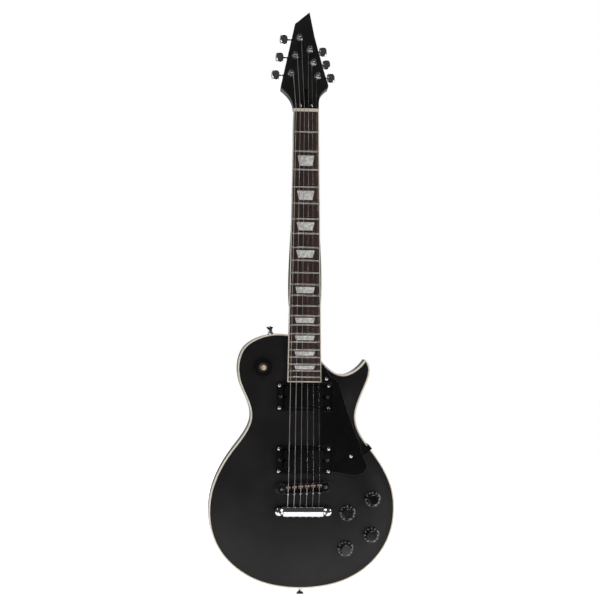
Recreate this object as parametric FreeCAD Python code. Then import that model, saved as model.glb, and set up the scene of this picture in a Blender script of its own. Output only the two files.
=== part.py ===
# Electric guitar: single-cutaway solid body with a carved top, a set neck, two humbuckers,
# a saddle bridge with a stop tailpiece, and a pointed three-a-side headstock.
# Frame: X to the treble side, Z up along the neck, the front of the body towards -Y.
# The origin is at the front edge of the nut, on the centreline, at the fretboard's surface.
import FreeCAD, Part
import math
import os

os.makedirs("parts", exist_ok=True)
V = FreeCAD.Vector

# ---- scale and angles ----
scale_length = 628.65        # 24.75 in, twice the distance from the nut to the twelfth fret
fret_count = 22
neck_angle = 4.0             # the neck leans back from the plane of the body, degrees
head_angle = 13.5            # the headstock leans back from the neck, degrees
bridge_slant = -2.92         # the bridge is turned so that the bass side is longer, degrees

# ---- fretboard ----
nut_width = 43.4
board_end = 461.0            # from the nut to the end of the board
end_width = 57.6
board_thick = 6.0
board_radius = 305.0         # 12 in radius across the board
board_binding = 1.6
fret_height = 1.1
fret_crown = 2.2
nut_thick = 5.0
inlay_depth = 1.2
inlay_frets = [3, 5, 7, 9, 12, 15, 17, 19, 21]

# ---- neck ----
neck_depths = [(14, 14.6), (0, 15.2), (-60, 15.8), (-200, 17.0), (-335, 18.5), (-352, 20.0),
               (-366, 25.0), (-377, 33.0), (-386, 40.0)]
tenon_width = 38.0
tenon_end = -461.0
tenon_depth = 30.0

# ---- body ----
rim_front = -19.5            # front face of the rim, where the carve begins
rim_back = 22.5              # flat back
cap_bottom = -12.5           # joint between the top cap and the back
binding_width = 2.4
rim_flat = 6.0               # flat margin inside the edge before the carve rises
carve_run = 78.0             # distance from the edge at which the carve is full
heel_z = -381.0              # where the neck enters the body
back_round = 5.0

# ---- hardware places, (x, z) on the front ----
pot_radius = 11.8
knob_places = [(119.0, -657.0), (76.0, -680.5), (117.5, -718.0), (73.5, -741.0)]
toggle_place = (-70.0, -435.5)
pickup_places = {"neck": -484.5, "bridge": -591.0}
bridge_z = -637.7
bridge_post_x = 37.2
tail_z = -677.5
tail_stud_x = 41.0
ring_screw = (42.0, 19.0)
guard_level = -33.2          # back face of the pickguard
guard_thick = 2.0
bracket_place = (112.3, -568.0)
jack_place = (142.0, -738.0)
jack_level = 5.0
jack_seat = 1.8              # depth of the flat in which the jack plate sits
strap_places = [(-56.0, -379.5), (0, -810.0)]
strap_level = 4.0

# ---- strings, from 1 (thin, treble) to 6 (thick, bass) ----
string_radius = [0.13, 0.17, 0.22, 0.33, 0.46, 0.58]
nut_spread = 35.2
bridge_spread = 52.8
saddle_z = [-633.6, -634.3, -635.0, -635.8, -636.6, -637.5]

# ---- headstock, (x, s) with s up the head from the nut ----
head_thick = 14.5
head_face = 3.5              # depth of the head's face behind the board's surface
post_places = [(20.8, 65.6), (13.6, 90.8), (8.0, 115.2), (-9.7, 137.4), (-17.4, 103.3), (-25.0, 69.6)]
worm_offset = 6.4            # from the post's axis to the worm's axis, up the head
worm_depth = 23.6            # from the board's surface plane back to the worm's axis
button_reach = 25.0          # from the post's axis to the middle of the button
gear_teeth = 14
gear_radius = 4.2            # at the roots of the teeth
worm_radius = 1.6


# ------------------------------------------------------------------ helpers
def save(name, shape):
    solids = shape.Solids
    result = solids[0] if len(solids) == 1 else Part.makeCompound(solids)
    result.exportStep("parts/" + name + ".step")
    print(name, len(solids), round(result.Volume, 1), result.isValid())


def box(x0, x1, y0, y1, z0, z1):
    return Part.makeBox(x1 - x0, y1 - y0, z1 - z0, V(x0, y0, z0))


def rod(radius, start, end):
    axis = end - start
    return Part.makeCylinder(radius, axis.Length, start, axis)


def disc(radius, x, z, y0, y1):
    """A round along Y between the levels y0 and y1."""
    return rod(radius, V(x, min(y0, y1), z), V(x, max(y0, y1), z))


def turned(profile, x, z, level):
    """A round about Y; the profile holds (radius, height towards the front above level)."""
    points = [V(x + radius, level - height, z) for radius, height in profile]
    face = Part.Face(Part.makePolygon(points + [points[0]]))
    return face.revolve(V(x, level, z), V(0, 1, 0), 360)


def fused(shapes):
    return shapes[0].fuse(shapes[1:]).removeSplitter() if len(shapes) > 1 else shapes[0]


def prism(outline, y0, y1):
    """Extrude a closed outline in the plane y = 0 to lie between y0 and y1."""
    solid = Part.Face(outline).extrude(V(0, y1 - y0, 0))
    solid.translate(V(0, y0, 0))
    return solid


def polygon(points):
    corners = [V(x, 0, z) for x, z in points]
    return Part.makePolygon(corners + [corners[0]])


def rounded(points, radius):
    """A polygon whose corners are all rounded to one radius."""
    inner = Part.Face(polygon(points)).makeOffset2D(-radius, join=2)
    return inner.makeOffset2D(radius).OuterWire


def hexagon(size, x, z, y0, y1):
    corners = [(x + size / math.sqrt(3) * math.cos(math.radians(60 * k)),
                z + size / math.sqrt(3) * math.sin(math.radians(60 * k))) for k in range(6)]
    return prism(polygon(corners), y0, y1)


def in_neck(shape):
    turned_shape = shape.copy()
    turned_shape.rotate(V(0, 0, 0), V(1, 0, 0), -neck_angle)
    return turned_shape


def in_head(shape):
    turned_shape = shape.copy()
    turned_shape.rotate(V(0, head_face, nut_thick), V(1, 0, 0), -head_angle)
    return in_neck(turned_shape)


def in_bridge(shape):
    turned_shape = shape.copy()
    turned_shape.rotate(V(0, 0, bridge_z), V(0, 1, 0), bridge_slant)
    return turned_shape


def neck_point(x, y, z):
    """A point given in the neck's frame, in the guitar's frame."""
    angle = math.radians(neck_angle)
    return V(x, y * math.cos(angle) + z * math.sin(angle), z * math.cos(angle) - y * math.sin(angle))


def board_width(z):
    return nut_width + (end_width - nut_width) * -z / board_end


def fret_z(number):
    return -scale_length * (1 - 2 ** (-number / 12))


def screw(head, shank, length, x, z, level, dome=1.3):
    """A domed cross-head wood screw that goes in from the level of its head's underside."""
    body = turned([(0, dome), (head * 0.55, dome * 0.8), (head, 0.25), (head, 0), (shank, 0),
                   (shank, -length + shank), (0, -length)], x, z, level)
    for along, across in ((head * 0.55, 0.3), (0.3, head * 0.55)):
        body = body.cut(box(x - along, x + along, level - dome - 1, level - dome * 0.35,
                            z - across, z + across))
    return body


# ------------------------------------------------------------------ body
def body_edge():
    """The outer edge and the cutaway, as two smooth curves that meet at the horn's tip."""
    edge = [(-27.4, -380.4), (-50, -379.2), (-80, -387), (-101.5, -402.5), (-111.8, -431),
            (-107.5, -464), (-93.5, -496), (-89.1, -520), (-98.5, -546), (-123, -580),
            (-143.5, -615), (-155.2, -650), (-157.9, -682), (-151.5, -720), (-135, -752),
            (-106, -780), (-70, -799), (-35, -807.6), (0, -810), (35, -807.2), (70, -798.4),
            (106, -779), (136, -748), (152.5, -714), (158, -677), (154.2, -642), (141, -609.5),
            (119, -577), (97, -547), (88.9, -520), (93.5, -495), (107, -461), (112.3, -438),
            (109.5, -427), (104.6, -421.5)]
    cutaway = [(104.6, -421.5), (97.5, -430.5), (85, -441), (70, -447), (54, -444.5),
               (40, -434.8), (28.6, -424)]
    curves = []
    for points in (edge, cutaway):
        curve = Part.BSplineCurve()
        curve.interpolate([V(x, 0, z) for x, z in points])
        curves.append(curve.toShape())
    return curves


tongue_line = [V(28.6, 0, -424), V(27.4, 0, heel_z), V(-27.4, 0, heel_z)]


def body_outline():
    edge, cutaway = body_edge()
    tongue = Part.makePolygon(tongue_line + [edge.Vertexes[0].Point])
    return Part.Wire([edge, cutaway] + tongue.Edges)


def inset_points(edge, distance, count):
    """Points at a distance inside an edge that runs with the body on its inner hand."""
    points = []
    first, last = edge.ParameterRange
    for k in range(count):
        parameter = first + (last - first) * k / (count - 1)
        tangent = edge.tangentAt(parameter)
        points.append(edge.valueAt(parameter) + V(-tangent.z, 0, tangent.x) * distance)
    return points


def body_inset(distance):
    """The outline inside the binding, which runs out where the neck enters the body."""
    edge, cutaway = body_edge()
    tip = cutaway.Vertexes[0].Point
    back = edge.tangentAt(edge.LastParameter) * -1
    ahead = cutaway.tangentAt(cutaway.FirstParameter)
    half_angle = back.getAngle(ahead) / 2
    corner = tip + (back + ahead).normalize() * (distance / math.sin(half_angle))
    reach = distance / math.tan(half_angle)
    curves = []
    for curve, count in ((edge, 90), (cutaway, 16)):
        points = [p for p in inset_points(curve, distance, count) if (p - tip).Length > reach + 3]
        points = points + [corner] if curve is edge else [corner] + points
        inset = Part.BSplineCurve()
        inset.interpolate(points)
        curves.append(inset.toShape())
        ends = points
    start = curves[0].valueAt(curves[0].FirstParameter)
    tongue = Part.makePolygon([ends[-1]] + tongue_line + [start])
    return Part.Wire(curves + tongue.Edges)


outline = body_outline()
inner_outline = body_inset(binding_width)
edge_samples = outline.discretize(420)


def carve_height(x, z):
    """Height of the carved top in front of the rim."""
    nearest = min((p.x - x) ** 2 + (p.z - z) ** 2 for p in edge_samples)
    inside = outline_face.isInside(V(x, 0, z), 0.01, True)
    run = (math.sqrt(nearest) - rim_flat) / (carve_run - rim_flat) if inside else 0
    run = min(max(run, 0), 1)
    full = 6.2 + 3.8 * min(max((-440 - z) / 160, 0), 1)
    return full * (1 - (1 - run) ** 2) * min(1, run * 6) if run > 0 else 0


outline_face = Part.Face(outline)
carve_step = 9.0
carve_x = [-171 + carve_step * k for k in range(39)]
carve_z = [-828 + carve_step * k for k in range(53)]
carve_grid = [[carve_height(x, z) for z in carve_z] for x in carve_x]


def smoothed(grid):
    """One pass of averaging with the neighbours, which rounds the creases of the carve."""
    rows, columns = len(grid), len(grid[0])
    return [[(4 * grid[i][j] + grid[max(i - 1, 0)][j] + grid[min(i + 1, rows - 1)][j]
              + grid[i][max(j - 1, 0)] + grid[i][min(j + 1, columns - 1)]) / 8
             for j in range(columns)] for i in range(rows)]


carve_grid = smoothed(smoothed(carve_grid))


def top_level(x, z):
    """Level of the carved top, interpolated in the grid."""
    i = int((x - carve_x[0]) / carve_step)
    j = int((z - carve_z[0]) / carve_step)
    u = (x - carve_x[i]) / carve_step
    v = (z - carve_z[j]) / carve_step
    low = carve_grid[i][j] * (1 - v) + carve_grid[i][j + 1] * v
    high = carve_grid[i + 1][j] * (1 - v) + carve_grid[i + 1][j + 1] * v
    return rim_front - low * (1 - u) - high * u


def highest_around(x, z, radius):
    ring = [(x + radius * math.cos(k * math.pi / 4), z + radius * math.sin(k * math.pi / 4))
            for k in range(8)]
    return min(top_level(a, b) for a, b in ring + [(x, z)])


def carve_surface():
    surface = Part.BSplineSurface()
    surface.interpolate([[V(x, rim_front - carve_grid[i][j], z) for j, z in enumerate(carve_z)]
                         for i, x in enumerate(carve_x)])
    return surface.toShape()


def under_carve():
    """Everything behind the carved surface, down to behind the cap."""
    solid = carve_surface().extrude(V(0, 30, 0))
    return Part.makeSolid(solid.Shells[0]) if not solid.Solids else solid.Solids[0]


def pickup_route(z, y0, y1):
    """Rout for one pickup: the coils' room and the two legs' rooms."""
    return box(-36, 36, y0, y1, z - 20, z + 20).fuse(box(-43, 43, y0, y1, z - 7, z + 7))


def control_outline(margin):
    corners = [(60, -680), (112, -641), (136, -654), (133, -716), (79, -758), (60, -752)]
    return Part.Face(polygon(corners)).makeOffset2D(margin).OuterWire


def edge_frame(place):
    """The point of the body's edge nearest to a place, and the outward direction there."""
    target = V(place[0], 0, place[1])
    k = min(range(len(edge_samples)), key=lambda i: (edge_samples[i] - target).Length)
    tangent = edge_samples[k + 1] - edge_samples[k - 1]
    outward = V(-tangent.z, 0, tangent.x)
    outward.normalize()
    inside = outline_face.isInside(edge_samples[k] + outward * 3, 0.01, True)
    return edge_samples[k], outward * (-1 if inside else 1)


def at_edge(shape, place, level):
    """Move a shape built at the origin, looking along +X, to the body's edge."""
    centre, outward = edge_frame(place)
    placed = shape.copy()
    placed.rotate(V(0, 0, 0), V(0, 1, 0), -math.degrees(math.atan2(outward.z, outward.x)))
    placed.translate(centre + V(0, level, 0))
    return placed


def on_strap(shape, place):
    """Move a round built about Y, with its top towards -Y, to stand on the body's edge."""
    turned_shape = shape.copy()
    turned_shape.rotate(V(0, 0, 0), V(0, 0, 1), 90)
    return at_edge(turned_shape, place, strap_level)


def x_rod(radius, x0, x1, y=0, z=0):
    return rod(radius, V(x0, y, z), V(x1, y, z))


def body_cuts():
    """All the rooms and bores that are cut into the body."""
    cuts = []
    for z in pickup_places.values():
        cuts.append(pickup_route(z, -60, 2))
    cuts.append(box(-4, 4, -8, 0, -600, -470))
    cuts.append(prism(control_outline(0), -12, rim_back + 5))
    cuts.append(prism(control_outline(9), rim_back - 2.2, rim_back + 5))
    toggle_x, toggle_z = toggle_place
    cuts.append(disc(19, toggle_x, toggle_z, -12, rim_back + 5))
    cuts.append(disc(27, toggle_x, toggle_z, rim_back - 2.2, rim_back + 5))
    cuts.append(disc(6.2, toggle_x, toggle_z, -60, 0))
    for x, z in knob_places:
        cuts.append(disc(4.9, x, z, -60, 0))
        cuts.append(disc(pot_radius + 0.8, x, z, -12.4, 2))
        cuts.append(box(x - 9, x + 9, -12.4, -9, z - 18, z))
    for side in (-1, 1):
        cuts.append(disc(3.65, side * tail_stud_x, tail_z, -60, -8))
    cuts.append(at_edge(x_rod(11.0, -40, 5), jack_place, jack_level))
    cuts.append(at_edge(box(-jack_seat, 10, -16.5, 16.5, -16.5, 16.5), jack_place, jack_level))
    cuts += [on_strap(disc(2.0, 0, 0, -30, 5), place) for place in strap_places]
    posts = [in_bridge(disc(2.6, side * bridge_post_x, bridge_z, -60, -8)) for side in (-1, 1)]
    return cuts + posts


def neck_pocket():
    """The room in the body for the neck's tenon."""
    tenon = box(-tenon_width / 2, tenon_width / 2, board_thick - 4, board_thick + tenon_depth,
                tenon_end, -370)
    return in_neck(tenon)


def make_body():
    cuts = body_cuts()
    pocket = neck_pocket().fuse(fretboard_blank())
    back = prism(outline, cap_bottom, rim_back)
    back_edges = [e for e in back.Edges if abs(e.BoundBox.YMin - rim_back) < 0.01]
    back = back.makeFillet(back_round, back_edges).cut(cuts).cut(pocket)
    save("body_back", back)
    cap = prism(inner_outline, cap_bottom, rim_front - 20).common(under_carve())
    save("body_top", cap.cut(cuts).cut(pocket))
    ring = prism(outline, cap_bottom, rim_front).cut(prism(inner_outline, -5, -60))
    save("body_binding", ring.cut(pocket))


def make_covers():
    toggle_x, toggle_z = toggle_place
    cover = prism(control_outline(8.7), rim_back - 2.2, rim_back)
    save("control_cover", cover.cut(cover_holes(cover_screws[:5])))
    plate = disc(26.7, toggle_x, toggle_z, rim_back - 2.2, rim_back)
    save("switch_cover", plate.cut(cover_holes(cover_screws[5:])))


def cover_holes(places):
    through = [disc(1.5, x, z, 0, 40) for x, z in places]
    sinks = [disc(2.6, x, z, rim_back - cover_sink, 40) for x, z in places]
    return through + sinks


cover_sink = 1.0
cover_screws = [(63.5, -679), (112, -636.5), (140.5, -652), (136.5, -718), (61, -757.5),
                (-70.0, -412.8), (-50.3, -446.9), (-89.7, -446.9)]


# ------------------------------------------------------------------ neck
def neck_wire(z, depth, width, level):
    """The neck's round section, from one side of the board to the other."""
    count = 9
    points = [V(-width / 2 * math.cos(math.pi * k / (count - 1)),
                level + depth * math.sin(math.pi * k / (count - 1)) ** 0.9, z) for k in range(count)]
    curve = Part.BSplineCurve()
    curve.interpolate(points)
    return Part.Wire([curve.toShape(), Part.makeLine(points[-1], points[0])])


def head_outline():
    """The pointed headstock, with hollow shoulders down to the nut."""
    left = [V(-21.7, 0, 5), V(-23.4, 0, 16.5), V(-29.2, 0, 29), V(-36, 0, 37), V(-43.0, 0, 43.6)]
    right = [V(37.6, 0, 45), V(31, 0, 39.5), V(25.2, 0, 31), V(22.4, 0, 20), V(21.7, 0, 5)]
    edges = []
    for points in (left, right):
        curve = Part.BSplineCurve()
        curve.interpolate(points)
        edges.append(curve.toShape())
    corners = [left[-1], V(-42.3, 0, 49.5), V(-16.6, 0, 164.5), V(9.1, 0, 187.5)]
    edges += Part.makePolygon(corners).Edges
    tip_side = [corners[-1], V(17.0, 0, 140.4), V(31.8, 0, 77), V(38.6, 0, 52.0)]
    edges += Part.makePolygon(tip_side).Edges
    edges.append(Part.Arc(V(38.6, 0, 52.0), V(39.0, 0, 48.2), right[0]).toShape())
    edges.append(Part.makeLine(right[-1], left[0]))
    return Part.Wire(Part.__sortEdges__(edges))


def make_neck():
    sections = [neck_wire(z, depth, board_width(z) if z < 0 else nut_width - z * 0.12, board_thick)
                for z, depth in neck_depths]
    shaft = Part.makeLoft(sections[:5], True)
    heel = Part.makeLoft(sections[4:], True)
    heel = heel.cut(in_body_of_neck())
    tenon = box(-tenon_width / 2, tenon_width / 2, board_thick, board_thick + tenon_depth,
                tenon_end, -360)
    head = prism(head_outline(), head_face, head_face + head_thick)
    head.rotate(V(0, head_face, nut_thick), V(1, 0, 0), -head_angle)
    neck = fused([shaft, heel, tenon, head])
    neck = neck.cut(fused([box(-30, 30, -20, board_thick, -500, nut_thick + 0.02)]))
    neck = neck.cut(box(-2.2, 2.2, board_thick - 1, board_thick + 9, -470, 12))
    neck = neck.cut(box(-3.2, 3.2, -5, board_thick + 7.5, nut_thick + 2, 24))
    neck = in_neck(neck)
    neck = neck.cut([in_head(disc(5.0, x, s, -10, 40)) for x, s in post_places])
    neck = neck.cut([pickup_route(pickup_places["neck"], -60, 2)])
    neck = neck.cut([in_head(screw_shank) for screw_shank in cover_shanks()])
    save("neck", neck)


def in_body_of_neck():
    """The space of the body's tongue, in the neck's frame."""
    tongue = box(-40, 40, -60, 60, -470, heel_z)
    tongue.rotate(V(0, 0, 0), V(1, 0, 0), neck_angle)
    return tongue


def cover_shanks():
    return [disc(1.2, x, s, head_face - 5, head_face + 9.5) for x, s in truss_screws]


truss_screws = [(-9.6, 10.2), (9.6, 10.2)]
truss_outline = [(-13.5, 6.5), (13.5, 6.5), (13.5, 13.5), (4.6, 22), (3.8, 41), (-3.8, 41),
                 (-4.6, 22), (-13.5, 13.5)]


def make_truss():
    rod_bar = rod(2.0, V(0, board_thick + 4.4, -455), V(0, board_thick + 4.4, 2))
    nut_end = rod(2.0, V(0, board_thick + 4.4, 2), V(0, board_thick + 4.4, 9))
    save("truss_rod", in_neck(fused([rod_bar, nut_end])))
    cover = prism(rounded(truss_outline, 1.2), head_face - 2.0, head_face)
    cover = cover.cut([disc(1.3, x, s, -10, 20) for x, s in truss_screws])
    save("truss_rod_cover", in_head(cover))


# ------------------------------------------------------------------ fretboard
def board_round(radius, z0, z1):
    """A long round whose crest is level with the board's surface on the centreline."""
    return rod(radius, V(0, board_radius, z0), V(0, board_radius, z1))


def board_prism(z0, z1, inset, y0, y1):
    corners = [(board_width(z0) / 2 - inset, z0), (board_width(z1) / 2 - inset, z1),
               (-board_width(z1) / 2 + inset, z1), (-board_width(z0) / 2 + inset, z0)]
    return prism(polygon(corners), y0, y1)


def fretboard_blank():
    return in_neck(board_prism(0, -board_end, 0, -5, board_thick))


def inlay_shape(number):
    """A trapezoid between two frets, wide towards the nut."""
    high, low = fret_z(number - 1), fret_z(number)
    gap = high - low
    top, bottom = high - gap * 0.22, low + gap * 0.22
    wide = board_width(top) * 0.62
    narrow = wide * (0.78 if number < 11 else 0.86)
    outline = rounded([(-wide / 2, top), (wide / 2, top), (narrow / 2, bottom),
                       (-narrow / 2, bottom)], 0.5)
    return prism(outline, -3, board_thick)


def make_fretboard():
    crown = board_round(board_radius, -500, 20)
    skin = crown.cut(board_round(board_radius - inlay_depth, -500, 20))
    inlays = [inlay_shape(number).common(skin) for number in inlay_frets]
    save("fret_inlays", in_neck(Part.makeCompound(inlays)))
    slots = [box(-40, 40, -3, 1.8 + 1.4, fret_z(n) - 0.3, fret_z(n) + 0.3)
             for n in range(1, fret_count + 1)]
    core = board_prism(0, -board_end + board_binding, board_binding, -3, board_thick).common(crown)
    slotted = core.cut([slot.common(board_round(board_radius, -500, 20).cut(
        board_round(board_radius - 2.4, -500, 20))) for slot in slots])
    save("fretboard", in_neck(slotted.cut(inlays)))
    edge = board_prism(0, -board_end, 0, -3, board_thick).common(crown)
    save("fretboard_binding", in_neck(edge.cut(core)))
    frets = []
    for n in range(1, fret_count + 1):
        z = fret_z(n)
        crest = board_round(board_radius + fret_height, z - fret_crown / 2, z + fret_crown / 2)
        crest = crest.cut(board_round(board_radius, z - 5, z + 5))
        crest = crest.common(board_prism(z + 3, z - 3, 0.4, -3, board_thick))
        tang = slots[n - 1].common(core.common(board_round(board_radius, -500, 20).cut(
            board_round(board_radius - 2.4, -500, 20))))
        frets.append(fused([rounded_fret(crest), tang]))
    save("frets", in_neck(Part.makeCompound(frets)))


def rounded_fret(crest):
    """Take the two long upper corners off a fret."""
    top = [e for e in crest.Edges if e.Length > 30 and e.BoundBox.YMin < -0.6]
    return crest.makeFillet(0.7, top)


def nut_string_x(k):
    return nut_spread / 2 - nut_spread * k / 5


def board_drop(x):
    """How far the board's surface has fallen at x from its crest on the centreline."""
    return board_radius - math.sqrt(board_radius ** 2 - x * x)


def nut_string_y(k):
    return board_drop(nut_string_x(k)) - fret_height - 0.5 - string_radius[k]


def make_nut():
    blank = box(-nut_width / 2, nut_width / 2, -6, board_thick - 2.5, 0, nut_thick)
    nut = blank.common(board_round(board_radius + 2.4, -1, 6))
    nut = nut.fuse(box(-nut_width / 2, nut_width / 2, board_thick - 2.5, board_thick, 0, nut_thick))
    slots = []
    for k in range(6):
        x, y, radius = nut_string_x(k), nut_string_y(k), string_radius[k] + 0.02
        slots.append(rod(radius, V(x, y, -1), V(x, y + 0.15, nut_thick + 1)))
        slots.append(box(x - radius, x + radius, -9, y, -1, nut_thick + 1))
    save("nut", in_neck(nut.removeSplitter().cut(slots)))


# ------------------------------------------------------------------ bridge, saddles and strings
def bridge_string_x(k):
    return bridge_spread / 2 - bridge_spread * k / 5


def saddle_point(k):
    """Centre of string k where it bends over its saddle."""
    x = bridge_string_x(k)
    lift = 4.6 + string_radius[k] - board_drop(x)
    return neck_point(x, -lift, saddle_z[k] / math.cos(math.radians(neck_angle)))


bridge_level = -33.4         # underside of the bridge
bridge_top = -42.6
bridge_half = 8.6            # half of its depth along the strings
channel_half = 7.1           # half of the room in which the saddles slide
saddle_half = 2.7
saddle_width = 7.6


def bridge_bar():
    bar = box(-bridge_post_x, bridge_post_x, bridge_top, bridge_level,
              bridge_z - bridge_half, bridge_z + bridge_half)
    ends = [disc(bridge_half, side * bridge_post_x, bridge_z, bridge_top, bridge_level)
            for side in (-1, 1)]
    bar = fused([bar] + ends)
    rim = [e for e in bar.Edges if abs(e.BoundBox.YMax - bridge_top) < 0.01]
    bar = bar.makeFillet(1.0, rim)
    return bar


def make_bridge():
    bar = bridge_bar()
    for k in range(6):
        x = bridge_string_x(k)
        bar = bar.cut(box(x - saddle_width / 2 - 0.3, x + saddle_width / 2 + 0.3, bridge_top - 3,
                          bridge_level - 1.6, bridge_z - channel_half, bridge_z + channel_half))
        bar = bar.cut(rod(1.25, V(x, intonation_level, bridge_z - 20),
                          V(x, intonation_level, bridge_z + 20)))
    bar = bar.cut([disc(2.9, side * bridge_post_x, bridge_z, -60, 0) for side in (-1, 1)])
    save("bridge", in_bridge(bar))
    posts = []
    for side in (-1, 1):
        x = side * bridge_post_x
        post = disc(2.6, x, bridge_z, bridge_top - 1.6, -9)
        slot = box(x - 0.5, x + 0.5, bridge_top - 3, bridge_top - 0.4, bridge_z - 4, bridge_z + 4)
        wheel = disc(9.4, x, bridge_z, bridge_level + 0.1, bridge_level + 2.6)
        knurls = [disc(0.7, x + 9.5 * math.cos(a), bridge_z + 9.5 * math.sin(a), -60, 0)
                  for a in [k * math.pi / 12 for k in range(24)]]
        posts.append(fused([post, wheel.cut(knurls)]).cut(slot))
    save("bridge_posts", in_bridge(Part.makeCompound(posts)))


intonation_level = -37.9


def make_saddles():
    screws = []
    for k in range(6):
        x = bridge_string_x(k)
        point = saddle_point(k)
        back = in_bridge_point(point)
        crest = point.y + string_radius[k]
        middle = back.z
        half = saddle_width / 2
        profile = [V(x - half, bridge_level - 2.0, middle - saddle_half),
                   V(x - half, crest + 1.6, middle - saddle_half), V(x - half, crest - 0.9, middle - 0.9),
                   V(x - half, crest - 0.9, middle + 0.4), V(x - half, crest + 2.4, middle + saddle_half),
                   V(x - half, bridge_level - 2.0, middle + saddle_half)]
        block = Part.Face(Part.makePolygon(profile + [profile[0]])).extrude(V(saddle_width, 0, 0))
        radius = string_radius[k] + 0.35
        block = block.cut(box(x - radius, x + radius, crest - 5, crest + 0.95, middle - 9, middle + 9))
        ramp = [V(x - radius, crest - 5, middle), V(x - radius, crest + 0.95, middle),
                V(x - radius, crest + 3.5, middle - 9), V(x - radius, crest - 5, middle - 9)]
        ramp = Part.Face(Part.makePolygon(ramp + [ramp[0]])).extrude(V(2 * radius, 0, 0))
        block = block.cut(ramp)
        block = block.cut(rod(1.15, V(x, intonation_level, middle - 9), V(x, intonation_level, middle + 9)))
        save("saddle_" + str(k + 1), in_bridge(block))
        shaft = rod(1.0, V(x, intonation_level, bridge_z - bridge_half - 0.2),
                    V(x, intonation_level, bridge_z + bridge_half - 0.4))
        head = rod(2.0, V(x, intonation_level, bridge_z - bridge_half - 2.0),
                   V(x, intonation_level, bridge_z - bridge_half - 0.1))
        cut = box(x - 0.3, x + 0.3, intonation_level - 3, intonation_level + 3,
                  bridge_z - bridge_half - 3, bridge_z - bridge_half - 1.1)
        screws.append(fused([shaft, head]).cut(cut))
    save("intonation_screws", in_bridge(Part.makeCompound(screws)))


def in_bridge_point(point):
    """The given point with the bridge's slant taken away."""
    angle = math.radians(bridge_slant)
    x, z = point.x, point.z - bridge_z
    return V(x * math.cos(angle) - z * math.sin(angle), point.y,
             bridge_z + x * math.sin(angle) + z * math.cos(angle))


tail_level = -38.2           # centre of the tailpiece bar
tail_half = 7.8              # half of its depth along the strings
tail_high = 5.6              # half of its height


def tail_hole(k):
    return V(bridge_string_x(k), tail_level + 0.6, tail_z)


def make_tailpiece():
    section = [V(0, -tail_high, 0.2), V(0, -2.8, tail_half),
               V(0, 3.4, tail_half), V(0, tail_high, 4.2), V(0, tail_high, -4.2),
               V(0, 3.4, -tail_half), V(0, -4.9, -tail_half)]
    face = Part.Face(Part.makePolygon(section + [section[0]]))
    bar = face.extrude(V(2 * 33.6, 0, 0))
    bar.translate(V(-33.6, tail_level, tail_z))
    bar = bar.makeFillet(1.1, [e for e in bar.Edges if e.Length > 60])
    ends = []
    for side in (-1, 1):
        x = side * tail_stud_x
        ends.append(box(min(side * 33, x), max(side * 33, x), tail_level - 1.6, tail_level + 3.4,
                        tail_z - 7.0, tail_z + 7.0))
        ends.append(disc(7.0, x, tail_z, tail_level - 1.6, tail_level + 3.4))
    bar = fused([bar] + ends)
    studs = []
    for side in (-1, 1):
        x = side * tail_stud_x
        bar = bar.cut(disc(4.4, x, tail_z, -60, 0))
        bar = bar.cut(box(x - 4.2, x + 4.2, -60, 0, tail_z, tail_z + 12))
        stud = turned([(0, 5.0), (4.0, 4.7), (6.4, 3.3), (7.4, 1.2), (7.4, 0), (4.1, 0), (4.1, -5.4),
                       (6.6, -5.4), (6.6, -7.0), (3.6, -7.0), (3.6, -26), (0, -26)],
                      x, tail_z, tail_level - 1.9)
        slot = box(x - 1.0, x + 1.0, -60, tail_level - 5.0, tail_z - 9, tail_z + 9)
        slot.rotate(V(x, 0, tail_z), V(0, 1, 0), side * 40)
        studs.append(stud.cut(slot))
    for k in range(6):
        centre = tail_hole(k)
        bar = bar.cut(rod(string_radius[k] + 0.5, centre + V(0, 0, -12), centre + V(0, 0, 12)))
        bar = bar.cut(rod(2.3, centre + V(0, 0, -12), centre + V(0, 0, -4.2)))
    save("tailpiece", bar)
    save("tailpiece_studs", Part.makeCompound(studs))


post_neck = 2.5              # radius of a tuner post where the string winds on
wind_level = head_face - 5.6


def post_tangent(k):
    """Where string k leaves its post, on the inner side, in the head's frame."""
    x, s = post_places[k]
    inner = -1 if x > 0 else 1
    return x + inner * (post_neck + 0.25 + string_radius[k]), s


def head_to_world(x, y, s):
    point = Part.Vertex(V(x, y, s))
    return in_head(point).Point


def string_path(k):
    x, s = post_tangent(k)
    nut_x, nut_y = nut_string_x(k), nut_string_y(k)
    hole = tail_hole(k)
    return [head_to_world(x, wind_level, s), neck_point(nut_x, nut_y + 0.15, nut_thick),
            neck_point(nut_x, nut_y, 0), saddle_point(k), hole + V(0, 0, 8.6), hole + V(0, 0, -6.0)]


def winding(k):
    """Three turns of the string around its post, with a running gap."""
    x, s = post_places[k]
    radius = string_radius[k]
    turns = [Part.makeTorus(post_neck + 0.25 + radius, radius * 1.08,
                            V(x, wind_level + turn * radius * 1.8, s), V(0, 1, 0)) for turn in range(3)]
    return in_head(turns[0].fuse(turns[1:]))


def string_solid(k):
    path = string_path(k)
    radius = string_radius[k]
    pieces = [rod(radius, a, b) for a, b in zip(path, path[1:])]
    pieces += [Part.makeSphere(radius * 1.02, point) for point in path[1:-1]]
    pieces.append(Part.makeSphere(radius * 1.3, path[0]))
    line = pieces[0].fuse(pieces[1:])
    return line.fuse(winding(k))


def make_strings():
    solids = [string_solid(k) for k in range(6)]
    balls = []
    for k in range(6):
        end = string_path(k)[-1]
        balls.append(rod(1.9, end + V(-1.2, 0, -1.9), end + V(1.2, 0, -1.9)))
    save("plain_strings", Part.makeCompound(solids[:3] + balls[:3]))
    save("wound_strings", Part.makeCompound(solids[3:] + balls[3:]))


# ------------------------------------------------------------------ pickups
ring_half = (46.4, 23.2)
coil_half = (34.6, 18.6)
pickup_tops = {"neck": -33.4, "bridge": -40.2}
ring_tops = {"neck": -30.6, "bridge": -35.0}


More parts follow.
